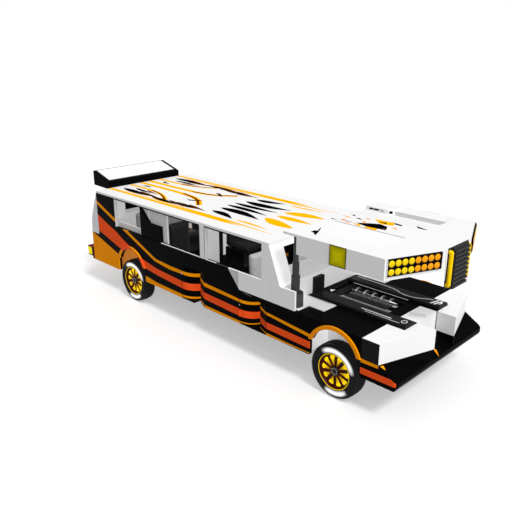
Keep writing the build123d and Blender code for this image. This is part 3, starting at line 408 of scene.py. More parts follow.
# finishes: name, paint, smoothness, dust, specular
white = grey(0.88)
black, orange = stripeColors["black"], stripeColors["orange"]
finish("whitePaint", white, 0.6, 0.05, 0.35, reach=0.7)
finish("sidePaint", black, 0.66, 0.004, 0.012, reach=0.7, livery=sideLivery)
finish("blackPaint", black, 0.6, 0.004, 0.012, reach=0.7)
finish("blockPaint", white, 0.6, 0.0, 0.08, livery=blockLivery)
finish("nosePaint", white, 0.6, 0.0, 0.3, livery=noseWallShade)
finish("railPaint", white, 0.6, 0.03, 0.35, livery=railShadeAndHighlights)
finish("trimPaint", orange, 0.62, 0.03, 0.05, livery=trimLivery)
finish("orangePaint", orange, 0.62, 0.0, 0.05)
finish("seamOrange", (1.0, 0.46, 0.06), 0.62, 0.03, 0.2)
finish("tailPaint", white, 0.6, 0.08, livery=lowPart(2, 0.983, orange))
# painted light: the wheel wells glow a little to brighten them
finish("wellPaint", white, 0.5, 0.2, livery=wellLivery, glow=0.14)
finish("framePaint", white, 0.6, 0.0, 0.3, livery=lowPart(2, 0.968, black))
finish("frameBlack", (0.008, 0.008, 0.009), 0.45, 0.2, 0.12, reach=0.7, peel=0.7)
finish("floorBlack", (0.003, 0.003, 0.004), 0.25, 0.02, 0.02, reach=0.6, peel=1.0)
finish("castGrey", (0.006, 0.006, 0.007), 0.4, 0.0, 0.1, peel=1.0, bump=0.08)
finish("darkGrey", (0.045, 0.045, 0.046), 0.55, 0.0, 0.2)
finish("bayTrim", (0.0075, 0.0075, 0.008), 0.55, 0.0, 0.12)
finish("steel", (0.45, 0.44, 0.43), 0.68, 0.2, metal=1.0)
finish("rubber", (0.03, 0.03, 0.031), 0.3, 0.1, 0.3, peel=0.8)
finish("bootRubber", (0.035, 0.035, 0.036), 0.3, 0.0, 0.2, peel=0.5, livery=bootCrestHighlight)
finish("plasticBlack", (0.002, 0.002, 0.0025), 0.5, 0.0, 0.02, peel=0.9)
finish("lampPanel", (0.001, 0.001, 0.004), 0.7, 0.0, 0.02, livery=rimLivery(1.019))
finish("grilleGrey", (0.027, 0.027, 0.028), 0.5, 0.0, 0.1, peel=0.8, livery=rimLivery(0.246))
finish("greyTrim", grey(0.72), 0.35, 0.0, 0.3, peel=0.9)
finish("lightGrey", grey(0.5), 0.5, 0.03)
finish("marker", (0.78, 0.70, 0.0), 0.8, 0.0, 0.03, livery=markerLivery)
finish("podLens", (1.0, 0.86, 0.0), 0.8, 0.0, 0.05, livery=podLampLivery, glow=0.3)
finish("yellowLens", (0.93, 0.64, 0.0), 0.82, 0.0, 0.08, coat=0.08)
finish("amberLens", (0.97, 0.36, 0.0), 0.82, 0.0, 0.08, coat=0.08)
finish("tubeYellow", (1.0, 0.66, 0.0), 0.7, 0.0, 0.08)
finish("roofYellow", (1.0, 0.47, 0.0), 0.6, 0.0, 0.0)
finish("roofBlack", (0.0015, 0.0015, 0.002), 0.6, 0.0, 0.0)
finish("roofBrown", (0.10, 0.022, 0.0), 0.6, 0.0, 0.0)
finish("dishRed", (0.045, 0.003, 0.001), 0.7, 0.0, 0.08)
finish("hubBlack", (0.005, 0.005, 0.006), 0.7, 0.02, 0.2)
coverFinish("seatCover", (0.02, 0.02, 0.022), (0.006, 0.006, 0.007))
coverFinish("seatPale", grey(0.85), grey(0.6))
coverFinish("seatGrey", grey(0.42), grey(0.24))

# which CAD nodes take each finish; the longest name that fits a node counts
finishNodes = {
    "sidePaint": "side_wall fender door front_bumper", "blackPaint": "front_deck rear_bumper wing",
    "frameBlack": "chassis_frame front_axle rear_axle fuel_tank knuckle seat_frames", "floorBlack": "floor_pan",
    "railPaint": "side_rails", "whitePaint": "roof_panel deck_plates", "tailPaint": "tail_frame",
    "orangePaint": "tailgate", "podLens": "rear_lamps", "framePaint": "windscreen_frame",
    "blockPaint": "front_blocks", "castGrey": "engine_block", "bayTrim": "engine_trim", "wellPaint": "wheel_wells",
    "trimPaint": "arch_trims", "steel": "exhaust", "tubeYellow": "rim grille_tubes", "rubber": "tyre",
    "bootRubber": "post_bases", "darkGrey": "lower_sleeves middle_sleeves lift_rods", "nosePaint": "nose_shell",
    "lampPanel": "lamp_panels", "yellowLens": "round_lamps", "grilleGrey": "nose_grille", "marker": "side_markers",
    "seatCover": "seat_cushions seat_backs", "greyTrim": "dashboard cabin_panels",
    "plasticBlack": "steering_wheel rear_blind",
}
nodeFinishes = {stem: name for name, stems in finishNodes.items() for stem in stems.split()}
for nodeName, piece in nodes.items():
    stem = max((key for key in nodeFinishes if key in nodeName), key=len)
    piece.data.materials.clear()
    piece.data.materials.append(finishes[nodeFinishes[stem]])
print("finishes made:", len(finishes))


# mesh helpers
def addObject(name, mesh):
    piece = bpy.data.objects.new(name, mesh)
    bpy.context.scene.collection.objects.link(piece)
    return piece


def makePiece(name, shape, finishName, smooth=False):
    verts, faces = shape
    mesh = bpy.data.meshes.new(name)
    mesh.from_pydata([tuple(v) for v in verts], [], faces)
    mesh.validate()
    piece = addObject(name, mesh)
    mend = bmesh.new()
    mend.from_mesh(mesh)
    bmesh.ops.remove_doubles(mend, verts=mend.verts, dist=1e-6)
    bmesh.ops.recalc_face_normals(mend, faces=mend.faces)
    mend.to_mesh(mesh)
    mend.free()
    mesh.materials.append(finishes[finishName])
    if smooth:
        mesh.shade_smooth()
    return piece


def attach(piece, body, replaces=()):
    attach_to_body(piece, body)
    if replaces:
        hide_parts(*replaces)
    return piece


def addPart(name, shape, finishName, body="body", smooth=False):
    return attach(makePiece(name, shape, finishName, smooth), body)


def bakeModifiers(piece):
    # turns what the modifiers make into the piece's own mesh
    graph = bpy.context.evaluated_depsgraph_get()
    graph.update()
    source = piece.evaluated_get(graph)
    made = bpy.data.meshes.new_from_object(source, preserve_all_data_layers=True, depsgraph=graph)
    piece.modifiers.clear()
    old = piece.data
    piece.data = made
    bpy.data.meshes.remove(old)
    made.name = piece.name
    return piece


def roundEdges(piece, width):
    bevel = piece.modifiers.new("rounded", "BEVEL")
    bevel.width = width
    bevel.segments = 2
    bevel.limit_method = "ANGLE"
    bevel.angle_limit = math.radians(35)
    bevel.harden_normals = False
    return bakeModifiers(piece)


def spunShape(profile, steps=64, closed=False):
    # profile of (offset along the wheel's axis, radius), spun round the Y axis
    verts, faces = [], []
    count = len(profile)
    for step in range(steps):
        turn = 2 * math.pi * step / steps
        verts += [(radius * math.cos(turn), offset, radius * math.sin(turn)) for offset, radius in profile]
    for step in range(steps):
        here, there = step * count, (step + 1) % steps * count
        for row in range(count if closed else count - 1):
            following = (row + 1) % count
            faces.append((here + row, here + following, there + following, there + row))
    return verts, faces


def slabShape(outline, low, high, lift):
    # outline of pairs, made solid between two values; lift(pair, value) gives the point
    count = len(outline)
    verts = [lift(pair, low) for pair in outline] + [lift(pair, high) for pair in outline]
    faces = [tuple(range(count)), tuple(range(2 * count - 1, count - 1, -1))]
    faces += [(i, (i + 1) % count, (i + 1) % count + count, i + count) for i in range(count)]
    return verts, faces


def levelPoint(pair, z):
    return (pair[0], pair[1], z)


def sidePoint(pair, y):
    return (pair[0], y, pair[1])


def joinShapes(shapes):
    verts, faces = [], []
    for part, polygons in shapes:
        start = len(verts)
        verts += part
        faces += [tuple(start + i for i in polygon) for polygon in polygons]
    return verts, faces


def bothSides(shape):
    verts, faces = shape
    return joinShapes([shape, ([(x, -y, z) for x, y, z in verts], [tuple(reversed(f)) for f in faces])])


def barShape(low, high):
    outline = [(low[0], low[1]), (high[0], low[1]), (high[0], high[1]), (low[0], high[1])]
    return slabShape(outline, low[2], high[2], levelPoint)


def tubeShape(path, radius, sides=14):
    points = [Vector(p) for p in path]
    count = len(points)
    verts, faces = [], []
    side = None
    for i, point in enumerate(points):
        run = (points[min(i + 1, count - 1)] - points[max(i - 1, 0)]).normalized()
        if side is None:
            side = run.orthogonal().normalized()
        side = (side - run * side.dot(run)).normalized()
        up = run.cross(side)
        for k in range(sides):
            turn = 2 * math.pi * k / sides
            verts.append(tuple(point + radius * (math.cos(turn) * side + math.sin(turn) * up)))
    for here in range(0, (count - 1) * sides, sides):
        for k in range(sides):
            m = (k + 1) % sides
            faces.append((here + k, here + m, here + sides + m, here + sides + k))
    faces += [tuple(range(sides - 1, -1, -1)), tuple((count - 1) * sides + k for k in range(sides))]
    return verts, faces


def smoothPath(points, rounds):
    # cuts corners evenly, ends kept
    for _ in range(rounds):
        made = [points[0]]
        for a, b in zip(points, points[1:]):
            a, b = Vector(a), Vector(b)
            made += [tuple(a.lerp(b, 0.25)), tuple(a.lerp(b, 0.75))]
        points = made + [points[-1]]
    return points


# geometry node trees
def newTree(name, inputs):
    tree = bpy.data.node_groups.new(name, "GeometryNodeTree")
    for label, kind in (("Geometry", "Geometry"), *inputs, ("Place", "Vector"), ("Material", "Material")):
        tree.interface.new_socket(name=label, in_out="INPUT", socket_type="NodeSocket" + kind)
    tree.interface.new_socket(name="Geometry", in_out="OUTPUT", socket_type="NodeSocketGeometry")
    return tree, tree.nodes.new("NodeGroupInput").outputs, tree.nodes.new("NodeGroupOutput").inputs


def closeTree(tree, points, given, out, rotation=None):
    copies = addNode(tree, "GeometryNodeInstanceOnPoints")
    realize = addNode(tree, "GeometryNodeRealizeInstances")
    shift = addNode(tree, "GeometryNodeTransform")
    paint = addNode(tree, "GeometryNodeSetMaterial")
    if rotation:
        tree.links.new(rotation, copies.inputs["Rotation"])
    for source, target in (
            (points.outputs[0], copies.inputs["Points"]), (given["Geometry"], copies.inputs["Instance"]),
            (copies.outputs["Instances"], realize.inputs["Geometry"]),
            (realize.outputs["Geometry"], shift.inputs["Geometry"]), (given["Place"], shift.inputs["Translation"]),
            (shift.outputs["Geometry"], paint.inputs["Geometry"]), (given["Material"], paint.inputs["Material"]),
            (paint.outputs["Geometry"], out["Geometry"])):
        tree.links.new(source, target)
    return tree


def makeRingTree():
    # copies one shape evenly round the Y axis
    tree, given, out = newTree("repeatRound", (("Count", "Int"), ("Turn", "Float")))
    points = addNode(tree, "GeometryNodePoints")
    tree.links.new(given["Count"], points.inputs["Count"])
    index = addNode(tree, "GeometryNodeInputIndex").outputs[0]
    share = mathNode(tree, "DIVIDE", index, given["Count"])
    turn = addNode(tree, "ShaderNodeCombineXYZ")
    tree.links.new(mathNode(tree, "ADD", product(tree, share, 2 * math.pi), given["Turn"]), turn.inputs["Y"])
    return closeTree(tree, points, given, out, turn.outputs[0])


def makeRowTree():
    # copies one shape in even steps, in rows
    tree, given, out = newTree("repeatRow", (("Count", "Int"), ("Rows", "Int"), ("Step", "Vector"),
                                             ("Row Step", "Vector")))
    points = addNode(tree, "GeometryNodePoints")
    tree.links.new(product(tree, given["Count"], given["Rows"]), points.inputs["Count"])
    index = addNode(tree, "GeometryNodeInputIndex").outputs[0]
    column = mathNode(tree, "MODULO", index, given["Count"])
    row = mathNode(tree, "FLOOR", mathNode(tree, "DIVIDE", index, given["Count"]))
    total = addNode(tree, "ShaderNodeVectorMath", operation="ADD")
    for number, (amount, label) in enumerate(((column, "Step"), (row, "Row Step"))):
        scale = addNode(tree, "ShaderNodeVectorMath", operation="SCALE")
        tree.links.new(given[label], scale.inputs[0])
        tree.links.new(amount, scale.inputs["Scale"])
        tree.links.new(scale.outputs[0], total.inputs[number])
    tree.links.new(total.outputs[0], points.inputs["Position"])
    return closeTree(tree, points, given, out)


ringTree = makeRingTree()
rowTree = makeRowTree()


def runTree(piece, tree, finishName, **values):
    modifier = piece.modifiers.new("repeat", "NODES")
    modifier.node_group = tree
    keys = {item.name: item.identifier for item in tree.interface.items_tree if item.in_out == "INPUT"}
    for label, value in values.items():
        modifier[keys[label.replace("_", " ")]] = value
    modifier[keys["Material"]] = finishes[finishName]
    bakeModifiers(piece)
    mesh = piece.data
    mesh.materials.clear()
    mesh.materials.append(finishes[finishName])
    return piece


def addRow(name, shape, finishName, count, step, place, rows=1, rowStep=(0.0, 0.0, 0.0)):
    piece = makePiece(name, shape, finishName)
    runTree(piece, rowTree, finishName, Count=count, Rows=rows, Step=step, Row_Step=rowStep, Place=place)
    return attach(piece, "body")


def joinPieces(name, pieces):
    merged = bmesh.new()
    slots = []
    for piece in pieces:
        start = len(merged.faces)
        merged.from_mesh(piece.data)
        merged.faces.ensure_lookup_table()
        for face in merged.faces[start:]:
            own = piece.data.materials[face.material_index]
            if own not in slots:
                slots.append(own)
            face.material_index = slots.index(own)
    mesh = bpy.data.meshes.new(name)
    merged.to_mesh(mesh)
    merged.free()
    for own in slots:
        mesh.materials.append(own)
    for piece in pieces:
        bpy.data.objects.remove(piece)
    return addObject(name, mesh)


# wheels
wheel = {
    "tyreRadius": 0.362, "tyreHalf": 0.1075, "rimRadius": 0.2395, "treadBlocks": 60, "petals": 10,
    "nuts": 10, "nutReach": 0.041, "axles": {"front": 2.380, "rear": -1.910}, "middle": 0.9325,
    "glareRadius": 0.284, "glareHalf": 0.042,
}


def wheelPlace(tree, place):
    # height over and distance ahead of the nearest axle, and how far out from it
    x, y, z = splitPlace(tree, place)
    front, rear = wheel["axles"]["front"], wheel["axles"]["rear"]
    up = mathNode(tree, "SUBTRACT", z, wheel["tyreRadius"])
    axleX = mathNode(tree, "ADD", product(tree, above(tree, x, 0.2), front - rear), rear)
    along = mathNode(tree, "SUBTRACT", x, axleX)
    reach = mathNode(tree, "SQRT", mathNode(tree, "ADD", product(tree, up, up), product(tree, along, along)))
    return up, along, reach, y


def sidewallGlare(tree, place, paint):
    # the pale arcs that soft light leaves on the upper and lower sidewall
    up, along, reach, across = wheelPlace(tree, place)
    band = mathNode(tree, "DIVIDE", distance(tree, reach, wheel["glareRadius"]), wheel["glareHalf"])
    band = mathNode(tree, "SUBTRACT", 1.0, band, clamp=True)
    upper = mathNode(tree, "ADD", product(tree, up, 0.87), product(tree, along, 0.30))
    upper = mathNode(tree, "SUBTRACT", mathNode(tree, "DIVIDE", upper, reach), 0.46, clamp=True)
    lower = mathNode(tree, "SUBTRACT", product(tree, along, 0.18), product(tree, up, 0.98))
    lower = mathNode(tree, "SUBTRACT", mathNode(tree, "DIVIDE", lower, reach), 0.80, clamp=True)
    arcs = mathNode(tree, "ADD", product(tree, upper, 4.0), product(tree, lower, 7.0), clamp=True)
    glare = product(tree, band, arcs, above(tree, distance(tree, across), 1.0), 1.5, clamp=True)
    return mixColor(tree, glare, paint, grey(1.0))


def petalLivery(tree, place, paint):
    # darker brown towards the hub
    reach = wheelPlace(tree, place)[2]
    far = product(tree, mathNode(tree, "SUBTRACT", reach, 0.075), 9.0, clamp=True)
    return mixColor(tree, far, (0.16, 0.035, 0.0), paint)


# painted light: the petals and the tyre glow a little, and the glow lights the tyre's painted glare arcs
finish("petalGold", (1.0, 0.70, 0.0), 0.72, 0.0, 0.12, coat=0.1, livery=petalLivery, glow=0.42)
finish("tyreWall", (0.004, 0.004, 0.005), 0.5, 0.01, 0.06, peel=0.8, livery=sidewallGlare, glow=0.5)


def fromFace(base, pairs):
    # profile given by the depth behind the wheel's outer face and the radius over a base radius
    return [(-wheel["tyreHalf"] + depth, base + radius) for depth, radius in pairs]


def makeTyre(name):
    radius, inner = wheel["tyreRadius"], wheel["rimRadius"] + 0.0008
    wall = fromFace(inner, [(0.016, 0.0), (0.004, 0.006), (0.0, 0.016), (0.003, 0.030), (0.0, 0.050),
                            (0.001, 0.075), (0.008, 0.096)])
    wall += fromFace(radius, [(0.018, -0.012), (0.034, -0.007)])
    tread = [(middle + offset, radius - depth) for middle in (-0.045, 0.0, 0.045) for offset, depth in
             ((-0.006, 0.008), (-0.004, 0.017), (0.004, 0.017), (0.006, 0.008))]
    profile = wall + tread + [(-offset, r) for offset, r in reversed(wall)]
    pieces = [makePiece(name + "Body", spunShape(profile, 72, closed=True), "tyreWall", smooth=True)]
    foot = radius - 0.009
    for low, high, lean, top in ((-0.088, -0.052, 0.010, 0.0055), (-0.038, -0.007, -0.008, 0.0006),
                                 (0.007, 0.038, 0.008, 0.0006), (0.052, 0.088, -0.010, 0.0055)):
        outline = [(low, -0.011), (high, -0.011 + lean), (high, 0.011 + lean), (low, 0.011)]
        verts = [(foot, y, z) for y, z in outline] + [(radius - top, y, z * 0.92) for y, z in outline]
        faces = [(0, 1, 2, 3), (7, 6, 5, 4)] + [(i, (i + 1) % 4, (i + 1) % 4 + 4, i + 4) for i in range(4)]
        block = makePiece(name + "Block", (verts, faces), "tyreWall")
        pieces.append(runTree(block, ringTree, "tyreWall", Count=wheel["treadBlocks"], Turn=low * 3))
    return joinPieces(name, pieces)


def petalShape(y):
    outline = [(0.070, 0.004), (0.10, 0.009), (0.15, 0.022), (0.180, 0.034), (0.194, 0.036), (0.204, 0.024),
               (0.208, 0.0)]
    ring = outline + [(r, -t) for r, t in reversed(outline[:-1])]
    verts = [(r, y, t) for r, t in ring]
    verts += [(0.075 + (r - 0.075) * 0.94, y - 0.012, t * 0.72) for r, t in ring]
    count = len(ring)
    spine = len(verts)
    verts += [(0.085, y - 0.014, 0.0), (0.14, y - 0.0155, 0.0), (0.19, y - 0.013, 0.0)]
    faces = [(i, (i + 1) % count, (i + 1) % count + count, i + count) for i in range(count)]
    for i in range(count):
        nearest = min(ring[i][0], ring[(i + 1) % count][0])
        faces.append((i + count, (i + 1) % count + count, spine + (nearest >= 0.1) + (nearest >= 0.18)))
    faces.append(tuple(range(count - 1, -1, -1)))
    return verts, faces


def makeRim(name):
    # built for the right side, its face towards -Y
    half, radius = wheel["tyreHalf"], wheel["rimRadius"]
    barrel = fromFace(radius, [(0.014, 0.0), (0.010, -0.003), (0.010, -0.009), (0.022, -0.013), (0.040, -0.017)])
    barrel += fromFace(0.0, [(0.052, 0.19), (0.056, 0.12), (0.050, 0.07), (0.046, 0.045), (0.072, 0.045),
                             (0.076, 0.12), (0.072, 0.19), (0.062, radius - 0.014)])
    barrel += [(half - 0.030, radius - 0.014), (half - 0.018, radius - 0.009), (half - 0.014, radius)]
    ring = fromFace(radius, [(0.0095, -0.002), (0.0065, -0.005), (0.0095, -0.010), (0.012, -0.006)])
    hub = fromFace(0.0, [(0.052, 0.056), (0.030, 0.054), (0.027, 0.050), (0.030, 0.030), (0.016, 0.026),
                         (0.012, 0.020), (0.012, 0.0005)])
    verts, faces = spunShape(fromFace(0.0, [(0.020, 0.004), (0.023, 0.007), (0.050, 0.007)]), 6)
    faces.append(tuple(range(0, len(verts), 3)))
    verts = [(x + wheel["nutReach"], y, z) for x, y, z in verts]
    dish = makePiece(name + "Dish", spunShape(barrel, 64, closed=True), "dishRed", smooth=True)
    lip = makePiece(name + "Ring", spunShape(ring, 64, closed=True), "petalGold", smooth=True)
    petal = makePiece(name + "Petal", petalShape(-half + 0.050), "petalGold")
    petals = runTree(petal, ringTree, "petalGold", Count=wheel["petals"], Turn=0.0)
    nut = makePiece(name + "Nut", (verts, faces), "steel")
    nuts = runTree(nut, ringTree, "steel", Count=wheel["nuts"], Turn=0.16)
    cap = makePiece(name + "Hub", spunShape(hub, 32), "hubBlack", smooth=True)
    return joinPieces(name, [dish, lip, petals, nuts, cap])


for end, axleX in wheel["axles"].items():
    for side, outward in (("right", -1), ("left", 1)):
        shift = Matrix.Translation(Vector((axleX, outward * wheel["middle"], wheel["tyreRadius"])))
        tyre = makeTyre(f"{end}{side.title()}Tyre")
        rim = makeRim(f"{end}{side.title()}Rim")
        if outward > 0:
            rim.data.transform(Matrix.Rotation(math.pi, 4, "Z"))
        for piece, kind, slotName in ((tyre, "tyre", "tyre_rubber"), (rim, "rim", "gold_rim")):
            piece.data.transform(shift)
            attach(piece, f"{end}_wheel_{side}", (f"{end}_{kind}_{side}",))
print("wheels made")


# lamps in the angled nose faces
lamps = {"corner": (2.997, -1.040), "face": (3.295, -0.330), "low": 1.830, "rise": 0.098, "lead": 0.031,
         "pitch": 0.086, "panel": 0.016, "radius": 0.0425}


def makeNoseLamps():
    start, end = Vector((*lamps["corner"], 0)), Vector((*lamps["face"], 0))
    along = (end - start).normalized()
    outward = Vector((-along.y, along.x, 0)) * -1
    pitch, r = lamps["pitch"], lamps["radius"]
    frameMatrix = Matrix((along, outward, Vector((0, 0, 1)))).transposed().to_4x4()
    bezel = [(0.0002, r), (0.006, r), (0.0085, r - 0.0012), (0.0075, r - 0.0025), (0.005, r - 0.003),
             (0.0002, r - 0.003)]
    lens = [(0.0002, r - 0.003), (0.0078, r - 0.0032), (0.011, r * 0.66), (0.0132, r * 0.32), (0.0138, 0.0004)]
    for colour, first in (("yellowLens", 0), ("amberLens", 4)):
        parts = []
        place = start + along * (lamps["lead"] + (first + 0.5) * pitch) + outward * lamps["panel"]
        place.z = lamps["low"]
        for profile, finishName, closed in ((bezel, "lampPanel", True), (lens, colour, False)):
            piece = makePiece("lampPart", spunShape(profile, 24, closed), finishName, smooth=True)
            piece.data.transform(frameMatrix)
            runTree(piece, rowTree, finishName, Count=4, Rows=2, Step=tuple(along * pitch),
                    Row_Step=(0.0, 0.0, lamps["rise"]), Place=tuple(place))
            parts.append(piece)
        right = joinPieces(colour + "Row", parts)
        left = addObject(colour + "Left", right.data.copy())
        left.data.transform(Matrix.Scale(-1, 4, (0, 1, 0)))
        left.data.flip_normals()
        both = joinPieces("noseLamps" + colour[:-4].title(), [right, left])
        attach(both, "nose", ("round_lamps",))


makeNoseLamps()
print("nose lamps made")

# bent tubes beside the grille
tubes = {"radius": 0.0255, "x": 3.332, "back": 3.3035, "across": 0.210, "low": 1.539, "high": 1.940, "turn": 0.03}


def makeTubes():
    x, back, y, turn = tubes["x"], tubes["back"], -tubes["across"], tubes["turn"]
    low, high = tubes["low"], tubes["high"]
    path = [(back, y, low + 0.001), (x - 0.004, y, low), (x, y, low + 0.004), (x, y, low + turn),
            (x, y, high - turn), (x, y, high - 0.004), (x - 0.004, y, high), (back, y, high - 0.001)]
    shape = tubeShape(smoothPath(path, 2), tubes["radius"], 20)
    attach(makePiece("grilleTubes", bothSides(shape), "tubeYellow", smooth=True), "nose", ("grille_tubes",))


makeTubes()

# roof ribbons, leaves and spears, drawn as thin vinyl on the roof skin
roofArt = {"top": 1.767, "thick": 0.0012, "layer": 0.0006, "sideLine": (0.715, 0.798), "thinLine": (0.668, 0.684),
           "back": -2.87, "front": 0.98}


def petalOutline(tail, tip, width, bend=0.0, steps=14):
    a, b = Vector(tail), Vector(tip)
    run = b - a
    side = Vector((-run.y, run.x)).normalized()
    near, far = [], []
    for i in range(steps + 1):
        t = i / steps
        middle = a + run * t + side * bend * math.sin(math.pi * t)
        half = width / 2 * math.sin(math.pi * t ** 0.75)
        near.append(tuple(middle + side * half))
        far.append(tuple(middle - side * half))
    return near + far[-2:0:-1]


def ribbonOutline(points, width):
    path = [Vector(p[:2]) for p in smoothPath([(*p, 0.0) for p in points], 3)]
    near, far = [], []
    for i, point in enumerate(path):
        run = path[min(i + 1, len(path) - 1)] - path[max(i - 1, 0)]
        side = Vector((-run.y, run.x)).normalized() * width / 2
        near.append(tuple(point + side))
        far.append(tuple(point - side))
    return near + far[::-1]


def vinyl(outline, layer, top):
    low = top + 0.0001 + layer * roofArt["layer"]
    return slabShape(outline, low, low + roofArt["thick"] / 2, levelPoint)


def makeRoofArt():
    back, front = roofArt["back"], roofArt["front"]
    yellow, dark, brown = [], [], []

    def flipped(points, sign):
        return [(x, sign * y) for x, y in points]

    for line, points in (
            ("sideLine", lambda low, high: [(back, -high), (0.05, -high), (0.50, -(low + high) / 2), (0.05, -low),
                                            (back, -low)]),
            ("thinLine", lambda low, high: [(back + 0.3, -high), (front, -high - 0.05),
                                            (front + 0.08, -low - 0.06), (0.2, -low), (back + 0.3, -low)])):
        outline = points(*roofArt[line])
        yellow += [outline, flipped(outline, -1)[::-1]]
    # two pairs of ribbons that open towards the sides and end in points
    for path, wide in (([(back, 0.095), (-1.62, 0.095), (-1.16, 0.17), (-0.84, 0.42)], 0.10),
                       ([(back, 0.325), (-2.20, 0.325), (-1.82, 0.40), (-1.50, 0.58)], 0.075)):
        for sign in (-1, 1):
            turned = flipped(path, sign)
            yellow.append(ribbonOutline(turned, wide))
            brown.append(ribbonOutline([(x - 0.02, y) for x, y in turned[1:]], wide * 0.42))
    # dark spears between the ribbons and the side lines, each with a brown shadow
    for sign in (-1, 1):
        for x, y, long, wide in ((-2.72, 0.575, 0.86, 0.13), (-1.86, 0.600, 0.80, 0.10),
                                 (-1.30, 0.560, 0.62, 0.12), (-2.55, 0.435, 0.52, 0.075)):
            bend = sign * 0.01
            dark.append(petalOutline((x, sign * y), (x + long, sign * (y + 0.03)), wide, bend))
            brown.append(petalOutline((x + long * 0.5, sign * (y - 0.055)), (x + long * 1.3, sign * (y + 0.02)),
                                      wide * 0.55, bend))
        dark.append(flipped([(-2.66, 0.255), (-2.40, 0.200), (-2.56, 0.165)], sign))
        dark.append(flipped([(-1.28, 0.31), (-1.12, 0.25), (-1.18, 0.20), (-1.00, 0.21), (-1.06, 0.27),
                             (-1.20, 0.34)], sign))
    # spray of leaves over the front half
    for sign in (-1, 1):
        for tail, tip, width, bend, leaves in (
                ((-0.56, 0.085), (0.36, 0.115), 0.115, -0.02, dark),
                ((-0.50, 0.275), (0.42, 0.355), 0.165, -0.05, dark),
                ((-0.46, 0.475), (0.10, 0.590), 0.130, -0.035, dark),
                ((0.40, 0.20), (1.12, 0.34), 0.20, 0.03, yellow),
                ((0.16, 0.575), (0.86, 0.62), 0.06, -0.01, yellow)):
            leaves.append(petalOutline(*flipped((tail, tip), sign), width, sign * bend))
    yellow.append(petalOutline((0.44, 0.0), (1.13, 0.0), 0.15, 0.0))
    for layer, (word, outlines) in enumerate((("Yellow", yellow), ("Black", dark), ("Brown", brown))):
        shape = joinShapes([vinyl(outline, layer, roofArt["top"]) for outline in outlines])
        addPart(f"roof{word}Vinyl", shape, "roof" + word)


makeRoofArt()
print("roof vinyl made")

# bonnet: seams, vent slots and a few loose shards of colour
bonnet = {"top": 1.985, "seamY": 0.228, "seam": (1.715, 2.737), "inner": 0.235, "outer": 0.735, "step": 0.008,
          "fall": 0.052, "humpFace": 0.680, "humpRound": (1.880, 0.790, 0.110)}
shards = {
    "Black": ("roofBlack", "black_plastic", 1, [
        [(1.94, -0.105), (2.13, -0.160), (2.40, -0.125), (2.33, 0.020), (2.19, 0.055), (2.06, -0.020)],
        [(2.10, 0.135), (2.26, 0.105), (2.22, 0.165)],
        [(2.33, 0.175), (2.44, 0.165), (2.42, 0.215), (2.32, 0.225)],
        [(1.660, 0.160), (1.760, 0.140), (1.695, 0.195)], [(1.800, 0.070), (1.930, 0.050), (1.840, 0.105)],
        [(1.560, -0.150), (1.70, -0.175), (1.60, -0.185)]]),
    "Yellow": ("roofYellow", "yellow_paint", 0, [
        [(2.00, 0.215), (2.30, 0.228), (2.36, 0.110), (2.20, 0.060), (2.10, 0.130)],
        [(2.12, -0.219), (2.32, -0.219), (2.28, -0.110), (2.18, -0.070)],
        [(1.91, -0.155), (2.07, -0.215), (2.03, -0.120)]]),
    "Orange": ("orangePaint", "orange_paint", 2, [
        [(1.60, 0.055), (1.79, 0.010), (1.66, 0.075)], [(1.70, -0.075), (1.76, -0.165), (1.735, -0.060)],
        [(1.77, -0.165), (1.93, -0.195), (1.83, -0.150)], [(1.88, 0.150), (2.03, 0.120), (1.93, 0.175)],
        [(1.95, -0.010), (2.05, -0.060), (2.00, 0.020)], [(2.385, 0.030), (2.50, -0.020), (2.42, 0.060)]]),
    "Red": ("dishRed", "black_plastic", 3, [
        [(2.27, 0.225), (2.36, 0.190), (2.33, 0.232)], [(2.31, -0.095), (2.39, -0.120), (2.36, -0.060)]]),
}


def channelPoint(pair, lift):
    # a point on the sloping floor of a channel in the nose, or on the flat top outside it
    across = (abs(pair[1]) - bonnet["inner"]) / (bonnet["outer"] - bonnet["inner"])
    drop = bonnet["step"] + bonnet["fall"] * across if 0 < across < 1 else 0.0
    return (pair[0], pair[1], bonnet["top"] - drop + lift)


